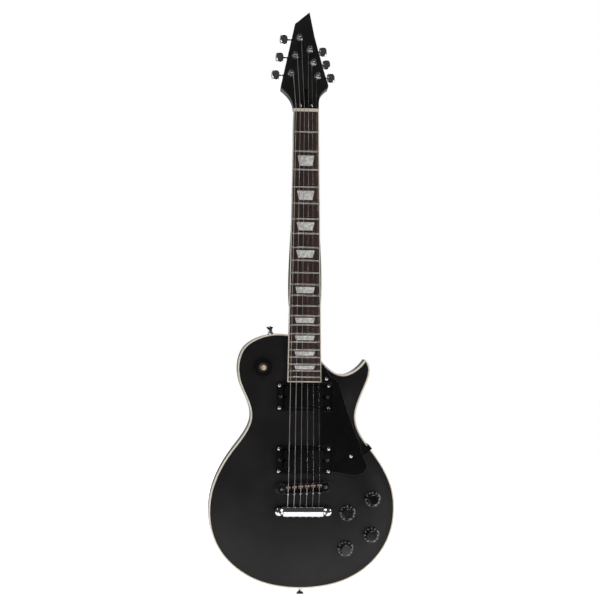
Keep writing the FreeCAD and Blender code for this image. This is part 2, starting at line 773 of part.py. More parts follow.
def ring_plate(name):
    """A sloping frame around the pickup, flat on the body."""
    z = pickup_places[name]
    x_half, z_half = ring_half
    corners = [(-x_half, z - z_half), (x_half, z - z_half), (x_half, z + z_half), (-x_half, z + z_half)]
    level = ring_levels[name]
    frame = prism(rounded(corners, 3.5), ring_tops[name], level)
    window = box(-coil_half[0] - 0.7, coil_half[0] + 0.7, -60, 0, z - coil_half[1] - 0.7,
                 z + coil_half[1] + 0.7)
    frame = frame.cut([window] + [disc(1.3, sx * ring_screw[0], z + sz * ring_screw[1], -60, 0)
                                  for sx in (-1, 1) for sz in (-1, 1)])
    return frame.cut([disc(1.6, side * 40.2, z, -60, 0) for side in (-1, 1)])


ring_levels = {}
for pickup_name, pickup_z in pickup_places.items():
    around = [top_level(x, pickup_z + dz) for x in (-46, 0, 46) for dz in (-23, 23)]
    ring_levels[pickup_name] = max(around) + 0.2


def pickup_coils(name):
    """Two bobbins side by side, on a base plate with a leg at each end."""
    z, top = pickup_places[name], pickup_tops[name]
    solids = []
    for side in (-1, 1):
        middle = z + side * 9.35
        corners = [(-34.4, middle - 9.2), (34.4, middle - 9.2), (34.4, middle + 9.2), (-34.4, middle + 9.2)]
        flange = prism(rounded(corners, 6.5), top, top + 1.6)
        core = prism(rounded([(-32, middle - 7.2), (32, middle - 7.2), (32, middle + 7.2),
                              (-32, middle + 7.2)], 6.0), top + 1.6, top + 9.4)
        foot = prism(rounded(corners, 6.5), top + 9.4, top + 11.0)
        bobbin = fused([flange, core, foot])
        bobbin = bobbin.cut([disc(2.45, x, middle, -60, 0) for x in pole_x])
        solids.append(bobbin)
    plate = box(-34, 34, top + 14.2, top + 15.2, z - 18.2, z + 18.2)
    legs = [box(min(side * 33.9, side * 42.4), max(side * 33.9, side * 42.4), top + 14.2, top + 15.4,
                z - 5, z + 5) for side in (-1, 1)]
    base = fused([plate] + legs).cut([disc(1.45, side * 40.2, z, -60, 0) for side in (-1, 1)])
    holes = [disc(2.5, x, z + side * 9.35, -60, 20) for x in pole_x for side in (-1, 1)]
    magnet = box(-31, 31, top + 11.0, top + 14.2, z - 5.5, z + 5.5)
    return solids + [base.cut(holes), magnet]


pole_x = [-24.5 + 9.8 * k for k in range(6)]


def pickup_poles(name):
    """Slotted pole screws in one coil and plain slugs in the other."""
    z, top = pickup_places[name], pickup_tops[name]
    screw_side = 1 if name == "neck" else -1
    poles = []
    for x in pole_x:
        row = z + screw_side * 9.35
        pole = fused([disc(2.4, x, row, top - 0.9, top + 0.9), disc(1.5, x, row, top + 0.5, top + 19)])
        poles.append(pole.cut(box(x - 3, x + 3, top - 2, top - 0.3, row - 0.3, row + 0.3)))
        poles.append(disc(2.35, x, z - screw_side * 9.35, top - 0.1, top + 13.5))
    return poles


def make_pickups():
    rings, screws, height_screws = [], [], []
    for name, z in pickup_places.items():
        rings.append(ring_plate(name))
        save(name + "_pickup", Part.makeCompound(pickup_coils(name)))
        save(name + "_pickup_poles", Part.makeCompound(pickup_poles(name)))
        for sx in (-1, 1):
            for sz in (-1, 1):
                screws.append(screw(2.6, 1.2, 14, sx * ring_screw[0], z + sz * ring_screw[1],
                                    ring_tops[name]))
            height_screws.append(screw(2.5, 1.4, 30, sx * 40.2, z, ring_tops[name], 1.0))
    cap = under_carve()
    rings = [ring.cut(cap) for ring in rings]
    save("pickup_rings", Part.makeCompound([ring.cut(fretboard_blank()) for ring in rings]))
    save("pickup_ring_screws", Part.makeCompound(screws))
    save("pickup_height_screws", Part.makeCompound(height_screws))


# ------------------------------------------------------------------ controls
knob_profile = [(0, 15.4), (7.6, 15.4), (8.3, 14.7), (8.9, 7.0), (9.9, 3.8), (12.2, 1.9), (13.6, 1.3),
                (13.6, 0), (11.5, 0), (8.4, 2.4), (5.2, 2.6), (3.02, 2.6), (3.02, 11.5), (0, 11.5)]


def knob_level(place):
    return highest_around(place[0], place[1], 13.6) - 0.7


def make_controls():
    pots = []
    for number, (x, z) in enumerate(knob_places, 1):
        level = knob_level((x, z))
        knob = turned(knob_profile, x, z, level)
        flutes = [disc(0.55, x + 9.05 * math.cos(a), z + 9.05 * math.sin(a), level - 7.5, level - 13.5)
                  for a in [k * math.pi / 12 for k in range(24)]]
        shaft = disc(3.0, x, z, level - 11.4, -7.0)
        pointer = [knob.cut(flutes), shaft]
        save("knob_" + str(number), Part.makeCompound(pointer))
        can = disc(pot_radius, x, z, -11.9, -3.4)
        bushing = disc(4.7, x, z, min(level + 0.4, top_level(x, z) - 1.6), -11.9)
        lugs = box(x - 8, x + 8, -11.9, -10.9, z - 17.0, z - 11.0)
        body = fused([can, bushing, lugs])
        hollow = disc(3.05, x, z, -60, -5.0)
        pots.append(body.cut(hollow))
    save("control_pots", Part.makeCompound(pots))


toggle_pivot = -22.0


def make_toggle():
    x, z = toggle_place
    level = highest_around(x, z, 15.6)
    nut_top = level - 1.0 - 3.2
    seat = under_carve()
    seat.translate(V(0, -0.2, 0))
    washer = disc(15.6, x, z, level + 2.5, level - 1.0).cut([disc(6.2, x, z, -60, 0), seat])
    nut = disc(7.8, x, z, level - 1.0, nut_top)
    notches = [disc(0.8, x + 8.1 * math.cos(a), z + 8.1 * math.sin(a), -60, 0)
               for a in [k * math.pi / 10 for k in range(20)]]
    nut = nut.cut(notches)
    barrel = disc(6.1, x, z, nut_top - 0.6, -9.0)
    frame = box(x - 9, x + 9, -11.6, -8.4, z - 12, z + 12)
    leaves = [box(x - 5, x + 5, -8.4, 14, z + dz - 0.4, z + dz + 0.4) for dz in (-9, -5, 5, 9)]
    switch = fused([nut, barrel, frame]).cut(disc(4.6, x, z, -60, -8))
    switch = Part.makeCompound([switch] + leaves)
    save("toggle_switch", Part.makeCompound([washer] + switch.Solids))
    stem = rod(1.5, V(x, -12, z), V(x, nut_top - 6, z))
    ball = Part.makeSphere(3.4, V(x, toggle_pivot, z))
    ball.rotate(V(x, toggle_pivot, z), V(0, 0, 1), 45)      # its seam, away from the pin and the stem
    pin = x_rod(1.1, x - 4.3, x + 4.3, toggle_pivot, z)
    tip = turned([(0, 18.0), (2.4, 17.6), (3.9, 16.2), (4.3, 14.2), (3.7, 10.0), (2.6, 5.2),
                  (2.2, 4.6), (1.5, 4.6), (1.5, 6.0), (0, 6.0)], x, z, nut_top)
    save("toggle_lever", Part.makeCompound([fused([stem, ball, pin]), tip]))


def make_jack():
    plate = box(-jack_seat, 0.4, -16.0, 16.0, -16.0, 16.0)
    plate = plate.makeFillet(3.0, [e for e in plate.Edges if abs(e.Length - 2.2) < 0.01])
    holes = [x_rod(1.3, -5, 5, y, z) for y in (-12.2, 12.2) for z in (-12.2, 12.2)]
    save("jack_plate", at_edge(plate.cut(holes + [x_rod(4.75, -5, 5)]), jack_place, jack_level))
    sleeve = x_rod(4.7, -14, 3.4)
    flange = x_rod(8.0, -4.2, -jack_seat)
    nut = hexagon(12.0, 0, 0, 0, 2.2)
    nut.rotate(V(0, 0, 0), V(0, 0, 1), 90)
    nut.translate(V(2.6, 0, 0))
    contact = box(-30, -14, 4.9, 5.7, -2, 2)
    lug = box(-14.5, -12.5, -7.6, 7.6, -7.4, 7.4)
    body = fused([sleeve, flange, nut, contact, lug]).cut(x_rod(3.25, -30, 10))
    save("output_jack", at_edge(body, jack_place, jack_level))


def make_strap_buttons():
    """Two flared buttons, each with its screw."""
    button = turned([(2.1, 0), (5.8, 0), (5.4, 1.2), (3.6, 4.8), (3.9, 7.6), (7.0, 11.6), (6.8, 12.6),
                     (5.6, 13.2), (3.7, 13.2), (2.1, 11.6)], 0, 0, 0)
    fixing = turned([(0, 13.0), (3.4, 13.0), (1.95, 11.5), (1.95, -22), (0, -24)], 0, 0, 0)
    fixing = fixing.cut([box(-2.2, 2.2, -15, -12, -0.35, 0.35), box(-0.35, 0.35, -15, -12, -2.2, 2.2)])
    pair = Part.makeCompound([button, fixing])
    save("strap_buttons", Part.makeCompound([on_strap(pair, place) for place in strap_places]))


# ------------------------------------------------------------------ tuners
def make_tuners():
    housings, bushings = [], []
    for k, (x, s) in enumerate(post_places):
        side = 1 if x > 0 else -1
        back = head_face + head_thick
        worm_s = s + worm_offset
        post = turned([(0, 12.6), (2.9, 12.6), (3.2, 12.2), (3.2, 9.0), (post_neck, 7.6),
                       (post_neck, 3.2), (3.2, 2.2), (3.2, -18.0), (1.7, -18.0), (1.7, -25.6),
                       (0, -25.6)], x, s, head_face)
        hole = rod(0.9, V(x - 5, head_face - 8.3, s), V(x + 5, head_face - 8.3, s))
        gear = disc(gear_radius, x, s, worm_depth - 1.9, worm_depth + 1.9)
        teeth = []
        for tooth in range(gear_teeth):
            block = box(x - 0.3, x + 0.3, worm_depth - 1.6, worm_depth + 1.6,
                        s + gear_radius - 0.3, s + gear_radius + 0.4)
            block.rotate(V(x, 0, s), V(0, 1, 0), 360 * tooth / gear_teeth)
            teeth.append(block)
        save("tuner_post_" + str(k + 1), in_head(fused([post.cut(hole), gear] + teeth)))

        bush = fused([disc(4.9, x, s, head_face, head_face + 10.5),
                      turned([(3.4, 2.4), (5.2, 2.4), (5.4, 1.0), (6.2, 0.9), (6.3, 0), (3.4, 0)],
                             x, s, head_face)])
        bushings.append(bush.cut(disc(3.25, x, s, -30, 40)))

        worm = x_rod(worm_radius, x - side * 4.2, x + side * 4.2, worm_depth, worm_s)
        stem = x_rod(1.9, x + side * 4.2, x + side * (button_reach - 5), worm_depth, worm_s)
        collar = x_rod(2.9, x + side * (button_reach - 9.4), x + side * (button_reach - 6), worm_depth,
                       worm_s)
        oval = tuner_button(x + side * button_reach, worm_depth, worm_s, side)
        save("tuner_button_" + str(k + 1), in_head(fused([worm, stem, collar, oval])))

        shell = box(x - 7.6, x + 7.6, back, back + 12.6, s - 7.5, s + 10.4)
        shell = shell.makeFillet(2.4, [e for e in shell.Edges if e.BoundBox.YMax > back + 0.1])
        neck_tube = x_rod(3.6, x + side * 7.0, x + side * 13.2, worm_depth, worm_s)
        foot = prism(rounded([(x - 4.2, s - 13.6), (x + 4.2, s - 13.6), (x + 4.2, s), (x - 4.2, s)], 2.0),
                     back, back + 2.0)
        housing = fused([shell, neck_tube, foot])
        housing = housing.cut([disc(gear_radius + 0.8, x, s, back + 1.2, back + 11.2),
                               disc(3.25, x, s, back - 1, back + 3),
                               x_rod(1.95, x + side * 3.0, x + side * 20, worm_depth, worm_s),
                               x_rod(worm_radius + 0.4, x - side * 4.6, x + side * 4.6, worm_depth, worm_s),
                               disc(1.3, x, s - 11.4, 0, 60)])
        housings.append(in_head(housing))
    save("tuner_bushings", Part.makeCompound([in_head(shape) for shape in bushings]))
    save("tuner_housings", Part.makeCompound(housings))


button_oval = [(-6.8, 0), (-6.2, 6.4), (-1.8, 10.2), (3.6, 9.2), (7.0, 4.4), (7.4, 0), (7.0, -4.4),
               (3.6, -9.2), (-1.8, -10.2), (-6.2, -6.4)]
button_half = 4.2            # half the thickness of a tuner button


def tuner_button(x, y, s, side):
    """A plump oval with well-rounded edges, flatter on the side of its shaft."""
    curve = Part.BSplineCurve()
    curve.interpolate([V(x + side * a, 0, s + b) for a, b in button_oval], PeriodicFlag=True)
    solid = prism(Part.Wire([curve.toShape()]), y - button_half, y + button_half)
    return solid.makeFillet(2.9, [e for e in solid.Edges if e.Length > 20])


# ------------------------------------------------------------------ pickguard and small screws
guard_screws = [(36.9, -453.5), (80.3, -584.0)]


def make_guard():
    edge = [(29.6, -426.2), (43.4, -449.2), (53.1, -455.4), (58.6, -461.0), (67.2, -488.6),
            (75.5, -513.5), (83.6, -535.0), (94.5, -561.0), (102.5, -586.0), (108.6, -601.5),
            (101.0, -613.0), (89.0, -617.0), (49.7, -611.2), (29.2, -608.0)]
    plate = prism(rounded(edge, 1.6), guard_level - guard_thick, guard_level)
    x_half, z_half = ring_half
    for z in pickup_places.values():
        plate = plate.cut(box(-60, x_half + 0.6, -60, 0, z - z_half - 0.6, z + z_half + 0.6))
    plate = plate.cut(in_neck(board_prism(0, -board_end, -0.6, -20, board_thick + 20)))
    plate = plate.cut([disc(1.3, x, z, -60, 0) for x, z in guard_screws])
    rim = [e for e in plate.Edges if abs(e.BoundBox.YMax - (guard_level - guard_thick)) < 0.01
           and e.Length > 4]
    plate = plate.makeFillet(0.5, rim)
    save("pickguard", plate)
    strip = box(-20, 1.7, guard_level, guard_level + 1.4, -4.6, 4.6)
    down = box(0.3, 1.7, guard_level, -4.0, -4.6, 4.6)
    bracket = fused([strip, down]).cut(x_rod(1.3, -5, 5, -8.0))
    save("pickguard_bracket", at_edge(bracket, bracket_place, 0))


def make_small_screws():
    shapes = [in_head(screw(2.1, 1.15, 9, x, s, head_face - 2.0, 1.1)) for x, s in truss_screws]
    for x, z in guard_screws:
        depth = guard_level - guard_thick
        shapes.append(screw(2.5, 1.2, 12, x, z, depth, 1.2))
    for x, z in cover_screws:
        back_screw = screw(2.4, 1.3, 9, x, -z, cover_sink - rim_back, 0.9)
        back_screw.rotate(V(0, 0, 0), V(1, 0, 0), 180)
        shapes.append(back_screw)
    for y in (-12.2, 12.2):
        for z in (-12.2, 12.2):
            side_screw = screw(2.2, 1.2, 9, 0, 0, 0, 0.9)
            side_screw.rotate(V(0, 0, 0), V(0, 0, 1), 90)
            side_screw.translate(V(0.4, y, z))
            shapes.append(at_edge(side_screw, jack_place, jack_level))
    back = head_face + head_thick + 2.0
    for x, s in post_places:
        tuner_screw = screw(2.2, 1.2, 8, x, -(s - 11.4), -back, 0.9)
        tuner_screw.rotate(V(0, 0, 0), V(1, 0, 0), 180)
        shapes.append(in_head(tuner_screw))
    save("small_wood_screws", Part.makeCompound(shapes))


make_body()
make_covers()
make_neck()
make_truss()
make_fretboard()
make_nut()
make_bridge()
make_saddles()
make_tailpiece()
make_strings()
make_pickups()
make_controls()
make_toggle()
make_jack()
make_strap_buttons()
make_tuners()
make_guard()
make_small_screws()
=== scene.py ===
import bpy, bmesh, math
from mathutils import Matrix, Vector


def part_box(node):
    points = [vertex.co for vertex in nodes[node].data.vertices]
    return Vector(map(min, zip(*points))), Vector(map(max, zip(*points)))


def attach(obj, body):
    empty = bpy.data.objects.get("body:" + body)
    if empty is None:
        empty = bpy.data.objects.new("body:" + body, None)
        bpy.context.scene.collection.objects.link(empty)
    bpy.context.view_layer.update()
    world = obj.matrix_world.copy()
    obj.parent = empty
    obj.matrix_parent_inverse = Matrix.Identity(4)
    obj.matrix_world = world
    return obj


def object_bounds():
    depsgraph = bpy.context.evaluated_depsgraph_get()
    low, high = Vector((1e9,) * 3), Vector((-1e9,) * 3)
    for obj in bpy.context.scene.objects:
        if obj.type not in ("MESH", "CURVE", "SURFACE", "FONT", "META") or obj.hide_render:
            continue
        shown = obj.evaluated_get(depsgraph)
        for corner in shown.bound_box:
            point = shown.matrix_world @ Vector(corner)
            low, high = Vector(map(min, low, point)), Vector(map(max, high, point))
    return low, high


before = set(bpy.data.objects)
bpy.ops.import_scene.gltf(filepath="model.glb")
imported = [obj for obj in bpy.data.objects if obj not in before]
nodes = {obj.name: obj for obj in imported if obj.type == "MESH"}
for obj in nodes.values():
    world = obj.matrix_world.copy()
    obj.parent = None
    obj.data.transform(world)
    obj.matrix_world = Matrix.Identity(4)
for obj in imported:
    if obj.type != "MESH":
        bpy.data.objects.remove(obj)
cadBounds = [list(corner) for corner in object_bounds()]
mainBody = "body_and_neck"
print("frame loaded:", len(nodes), "nodes")

camera = {
    "distance": 3.0,                    # metres from the aim
    "azimuth": math.radians(-5.5),      # the camera stands a little to the bass side
    "roll": math.radians(0.78),
    "aim": Vector((-0.0078, -0.014, -0.3213)),
    "frameWidth": 1.0176,               # metres seen across at the aim
    "filmWidth": 36,                    # millimetres
    "farthest": 80,                     # nothing past this is drawn
}


def addPiece(name, data):
    piece = bpy.data.objects.new(name, data)
    bpy.context.scene.collection.objects.link(piece)
    return piece


def makeCamera():
    lens = bpy.data.cameras.new("camera")
    lens.sensor_width = camera["filmWidth"]
    lens.lens = lens.sensor_width * camera["distance"] / camera["frameWidth"]
    lens.clip_end = camera["farthest"]
    stand = addPiece("camera", lens)
    side = Vector((math.sin(camera["azimuth"]), -math.cos(camera["azimuth"]), 0))
    place = camera["aim"] + side * camera["distance"]
    look = (camera["aim"] - place).to_track_quat("-Z", "Y").to_matrix().to_4x4()
    stand.matrix_world = Matrix.Translation(place) @ look @ Matrix.Rotation(camera["roll"], 4, "Z")
    bpy.context.scene.camera = stand


makeCamera()
print("camera placed")


# one node frame for each effect, its nodes in columns of three
def layOut(tree, effects):
    left = 0
    for title, members in effects:
        border = tree.nodes.new("NodeFrame")
        border.label = title
        for count, node in enumerate(members):
            node.parent = border
            node.location = (left + 240 * (count // 3), -280 * (count % 3))
        left += 240 * ((len(members) + 2) // 3) + 90


def newTree(name):
    material = bpy.data.materials.new(name)
    material.use_nodes = True
    material.node_tree.nodes.clear()
    return material, material.node_tree


def satinLacquer(name, look):
    material, tree = newTree(name)
    place = tree.nodes.new("ShaderNodeTexCoord")
    place.label = "place on the wood"
    clouds = tree.nodes.new("ShaderNodeTexNoise")
    clouds.label = "where the lacquer was rubbed"
    haze = tree.nodes.new("ShaderNodeValToRGB")
    haze.label = "black to a hazy grey black"
    sheen = tree.nodes.new("ShaderNodeMapRange")
    sheen.label = "rubbed areas shine more"
    stretch = tree.nodes.new("ShaderNodeMapping")
    stretch.label = "grain runs along the body"
    grain = tree.nodes.new("ShaderNodeTexNoise")
    grain.label = "wood grain under the lacquer"
    peel = tree.nodes.new("ShaderNodeTexNoise")
    peel.label = "orange peel of the spray"
    grainBump = tree.nodes.new("ShaderNodeBump")
    grainBump.label = "grain telegraphs through"
    peelBump = tree.nodes.new("ShaderNodeBump")
    peelBump.label = "fine spray texture"
    shader = tree.nodes.new("ShaderNodeBsdfPrincipled")
    shader.label = "satin lacquer"
    output = tree.nodes.new("ShaderNodeOutputMaterial")
    output.label = "surface"
    layOut(tree, [("position", [place]), ("haze", [clouds, haze, sheen]),
                  ("grain", [stretch, grain, grainBump]), ("spray", [peel, peelBump]),
                  ("finish", [shader, output])])

    clouds.inputs["Scale"].default_value = look["cloudScale"]
    clouds.inputs["Detail"].default_value = 5
    clouds.inputs["Roughness"].default_value = 0.6
    haze.color_ramp.elements[0].position = 0.36
    haze.color_ramp.elements[0].color = (*look["dark"], 1)
    haze.color_ramp.elements[1].position = 0.72
    haze.color_ramp.elements[1].color = (*look["pale"], 1)
    sheen.inputs["From Min"].default_value = 0.35
    sheen.inputs["From Max"].default_value = 0.7
    sheen.inputs["To Min"].default_value = look["roughness"] - 0.04
    sheen.inputs["To Max"].default_value = look["roughness"] + 0.05
    stretch.inputs["Scale"].default_value = (1, 1, 0.05)
    grain.inputs["Scale"].default_value = 420
    grain.inputs["Detail"].default_value = 4
    grainBump.inputs["Strength"].default_value = 0.05
    grainBump.inputs["Distance"].default_value = 0.0002
    peel.inputs["Scale"].default_value = 1400
    peel.inputs["Detail"].default_value = 2
    peelBump.inputs["Strength"].default_value = 0.05
    peelBump.inputs["Distance"].default_value = 0.0001
    shader.inputs["Specular IOR Level"].default_value = 0.24
    shader.inputs["Coat Weight"].default_value = 0.02
    shader.inputs["Coat Roughness"].default_value = 0.25

    tree.links.new(place.outputs["Object"], clouds.inputs["Vector"])
    tree.links.new(clouds.outputs["Fac"], haze.inputs["Fac"])
    tree.links.new(clouds.outputs["Fac"], sheen.inputs["Value"])
    tree.links.new(place.outputs["Object"], stretch.inputs["Vector"])
    tree.links.new(stretch.outputs["Vector"], grain.inputs["Vector"])
    tree.links.new(grain.outputs["Fac"], grainBump.inputs["Height"])
    tree.links.new(place.outputs["Object"], peel.inputs["Vector"])
    tree.links.new(peel.outputs["Fac"], peelBump.inputs["Height"])
    tree.links.new(grainBump.outputs["Normal"], peelBump.inputs["Normal"])
    tree.links.new(haze.outputs["Color"], shader.inputs["Base Color"])
    tree.links.new(sheen.outputs["Result"], shader.inputs["Roughness"])
    tree.links.new(peelBump.outputs["Normal"], shader.inputs["Normal"])
    tree.links.new(shader.outputs["BSDF"], output.inputs["Surface"])
    return material


def clearPlastic(name, look):
    # cream binding and the nut
    material, tree = newTree(name)
    place = tree.nodes.new("ShaderNodeTexCoord")
    place.label = "place on the strip"
    mottle = tree.nodes.new("ShaderNodeTexNoise")
    mottle.label = "uneven ageing"
    tint = tree.nodes.new("ShaderNodeValToRGB")
    tint.label = "pale to yellowed"
    scrape = tree.nodes.new("ShaderNodeTexNoise")
    scrape.label = "marks of the scraper"
    shine = tree.nodes.new("ShaderNodeMapRange")
    shine.label = "scraped parts are duller"
    scrapeBump = tree.nodes.new("ShaderNodeBump")
    scrapeBump.label = "scraper ripple"
    shader = tree.nodes.new("ShaderNodeBsdfPrincipled")
    shader.label = "aged plastic"
    output = tree.nodes.new("ShaderNodeOutputMaterial")
    output.label = "surface"
    layOut(tree, [("position", [place]), ("ageing", [mottle, tint]),
                  ("scraping", [scrape, shine, scrapeBump]), ("finish", [shader, output])])

    mottle.inputs["Scale"].default_value = 38
    mottle.inputs["Detail"].default_value = 4
    tint.color_ramp.elements[0].position = 0.3
    tint.color_ramp.elements[0].color = (*look["pale"], 1)
    tint.color_ramp.elements[1].position = 0.75
    tint.color_ramp.elements[1].color = (*look["aged"], 1)
    scrape.inputs["Scale"].default_value = 700
    scrape.inputs["Detail"].default_value = 3
    shine.inputs["To Min"].default_value = look["roughness"] - 0.06
    shine.inputs["To Max"].default_value = look["roughness"] + 0.1
    scrapeBump.inputs["Strength"].default_value = 0.06
    scrapeBump.inputs["Distance"].default_value = 0.0001
    shader.inputs["Subsurface Weight"].default_value = look["glow"]
    shader.inputs["Subsurface Scale"].default_value = 0.001
    shader.inputs["Coat Weight"].default_value = 0.25
    shader.inputs["Coat Roughness"].default_value = 0.12

    tree.links.new(place.outputs["Object"], mottle.inputs["Vector"])
    tree.links.new(mottle.outputs["Fac"], tint.inputs["Fac"])
    tree.links.new(place.outputs["Object"], scrape.inputs["Vector"])
    tree.links.new(scrape.outputs["Fac"], shine.inputs["Value"])
    tree.links.new(scrape.outputs["Fac"], scrapeBump.inputs["Height"])
    tree.links.new(tint.outputs["Color"], shader.inputs["Base Color"])
    tree.links.new(shine.outputs["Result"], shader.inputs["Roughness"])
    tree.links.new(scrapeBump.outputs["Normal"], shader.inputs["Normal"])
    tree.links.new(shader.outputs["BSDF"], output.inputs["Surface"])
    return material


def rosewood(name, look):
    material, tree = newTree(name)
    place = tree.nodes.new("ShaderNodeTexCoord")
    place.label = "place on the board"
    stretch = tree.nodes.new("ShaderNodeMapping")
    stretch.label = "figure runs along the neck"
    figure = tree.nodes.new("ShaderNodeTexNoise")
    figure.label = "dark and light growth"
    browns = tree.nodes.new("ShaderNodeValToRGB")
    browns.label = "rosewood browns"
    poreStretch = tree.nodes.new("ShaderNodeMapping")
    poreStretch.label = "pores are long and thin"
    pores = tree.nodes.new("ShaderNodeTexNoise")
    pores.label = "open pores"
    poreMask = tree.nodes.new("ShaderNodeMapRange")
    poreMask.label = "only the deepest spots are pores"
    darken = tree.nodes.new("ShaderNodeMix")
    darken.label = "pores are nearly black"
    poreBump = tree.nodes.new("ShaderNodeBump")
    poreBump.label = "pores are open"
    oiled = tree.nodes.new("ShaderNodeMapRange")
    oiled.label = "oiled wood between the pores"
    shader = tree.nodes.new("ShaderNodeBsdfPrincipled")
    shader.label = "oiled rosewood"
    output = tree.nodes.new("ShaderNodeOutputMaterial")
    output.label = "surface"
    layOut(tree, [("position", [place]), ("figure", [stretch, figure, browns]),
                  ("pores", [poreStretch, pores, poreMask, darken, poreBump, oiled]),
                  ("finish", [shader, output])])

    stretch.inputs["Scale"].default_value = (1, 1, 0.05)
    figure.inputs["Scale"].default_value = 230
    figure.inputs["Detail"].default_value = 6
    figure.inputs["Distortion"].default_value = 0.4
    browns.color_ramp.elements[0].position = 0.3
    browns.color_ramp.elements[0].color = (*look["dark"], 1)
    browns.color_ramp.elements[1].position = 0.72
    browns.color_ramp.elements[1].color = (*look["light"], 1)
    poreStretch.inputs["Scale"].default_value = (1, 1, 0.06)
    pores.inputs["Scale"].default_value = 1500
    pores.inputs["Detail"].default_value = 2
    poreMask.inputs["From Min"].default_value = 0.58
    poreMask.inputs["From Max"].default_value = 0.68
    darken.data_type = "RGBA"
    darken.inputs["B"].default_value = (*look["pore"], 1)
    poreBump.inputs["Strength"].default_value = 0.25
    poreBump.inputs["Distance"].default_value = 0.0002
    poreBump.invert = True
    oiled.inputs["To Min"].default_value = look["roughness"]
    oiled.inputs["To Max"].default_value = 0.85

    tree.links.new(place.outputs["Object"], stretch.inputs["Vector"])
    tree.links.new(stretch.outputs["Vector"], figure.inputs["Vector"])
    tree.links.new(figure.outputs["Fac"], browns.inputs["Fac"])
    tree.links.new(place.outputs["Object"], poreStretch.inputs["Vector"])
    tree.links.new(poreStretch.outputs["Vector"], pores.inputs["Vector"])
    tree.links.new(pores.outputs["Fac"], poreMask.inputs["Value"])
    tree.links.new(poreMask.outputs["Result"], darken.inputs["Factor"])
    tree.links.new(browns.outputs["Color"], darken.inputs["A"])
    tree.links.new(poreMask.outputs["Result"], poreBump.inputs["Height"])
    tree.links.new(poreMask.outputs["Result"], oiled.inputs["Value"])
    tree.links.new(darken.outputs["Result"], shader.inputs["Base Color"])
    tree.links.new(oiled.outputs["Result"], shader.inputs["Roughness"])
    tree.links.new(poreBump.outputs["Normal"], shader.inputs["Normal"])
    tree.links.new(shader.outputs["BSDF"], output.inputs["Surface"])
    return material


def pearl(name, look):
    material, tree = newTree(name)
    place = tree.nodes.new("ShaderNodeTexCoord")
    place.label = "place on the inlay"
    swirl = tree.nodes.new("ShaderNodeTexNoise")
    swirl.label = "swirls in the sheet"
    bend = tree.nodes.new("ShaderNodeVectorMath")
    bend.label = "swirls push the flakes about"
    flakes = tree.nodes.new("ShaderNodeTexVoronoi")
    flakes.label = "pearl flakes"
    tones = tree.nodes.new("ShaderNodeValToRGB")
    tones.label = "silver, white and cream"
    flash = tree.nodes.new("ShaderNodeMapRange")
    flash.label = "some flakes are brighter"
    shader = tree.nodes.new("ShaderNodeBsdfPrincipled")
    shader.label = "pearl under lacquer"
    output = tree.nodes.new("ShaderNodeOutputMaterial")
    output.label = "surface"
    layOut(tree, [("position", [place]), ("flakes", [swirl, bend, flakes]),
                  ("colour", [tones, flash]), ("finish", [shader, output])])

    swirl.inputs["Scale"].default_value = 90
    swirl.inputs["Detail"].default_value = 4
    bend.operation = "MULTIPLY_ADD"
    bend.inputs[1].default_value = (0.02, 0.02, 0.02)
    flakes.feature = "SMOOTH_F1"
    flakes.inputs["Scale"].default_value = 210
    tones.color_ramp.elements[0].color = (*look["silver"], 1)
    tones.color_ramp.elements[1].position = 0.6
    tones.color_ramp.elements[1].color = (*look["white"], 1)
    middle = tones.color_ramp.elements.new(0.3)
    middle.color = (*look["cream"], 1)
    flash.inputs["To Min"].default_value = 0.16
    flash.inputs["To Max"].default_value = 0.4
    shader.inputs["Metallic"].default_value = 0.12
    shader.inputs["Coat Weight"].default_value = 0.7
    shader.inputs["Coat Roughness"].default_value = 0.08

    tree.links.new(place.outputs["Object"], swirl.inputs["Vector"])
    tree.links.new(swirl.outputs["Color"], bend.inputs[0])
    tree.links.new(place.outputs["Object"], bend.inputs[2])
    tree.links.new(bend.outputs["Vector"], flakes.inputs["Vector"])
    tree.links.new(flakes.outputs["Distance"], tones.inputs["Fac"])
    tree.links.new(flakes.outputs["Distance"], flash.inputs["Value"])
    tree.links.new(tones.outputs["Color"], shader.inputs["Base Color"])
    tree.links.new(flash.outputs["Result"], shader.inputs["Roughness"])
    tree.links.new(shader.outputs["BSDF"], output.inputs["Surface"])
    return material


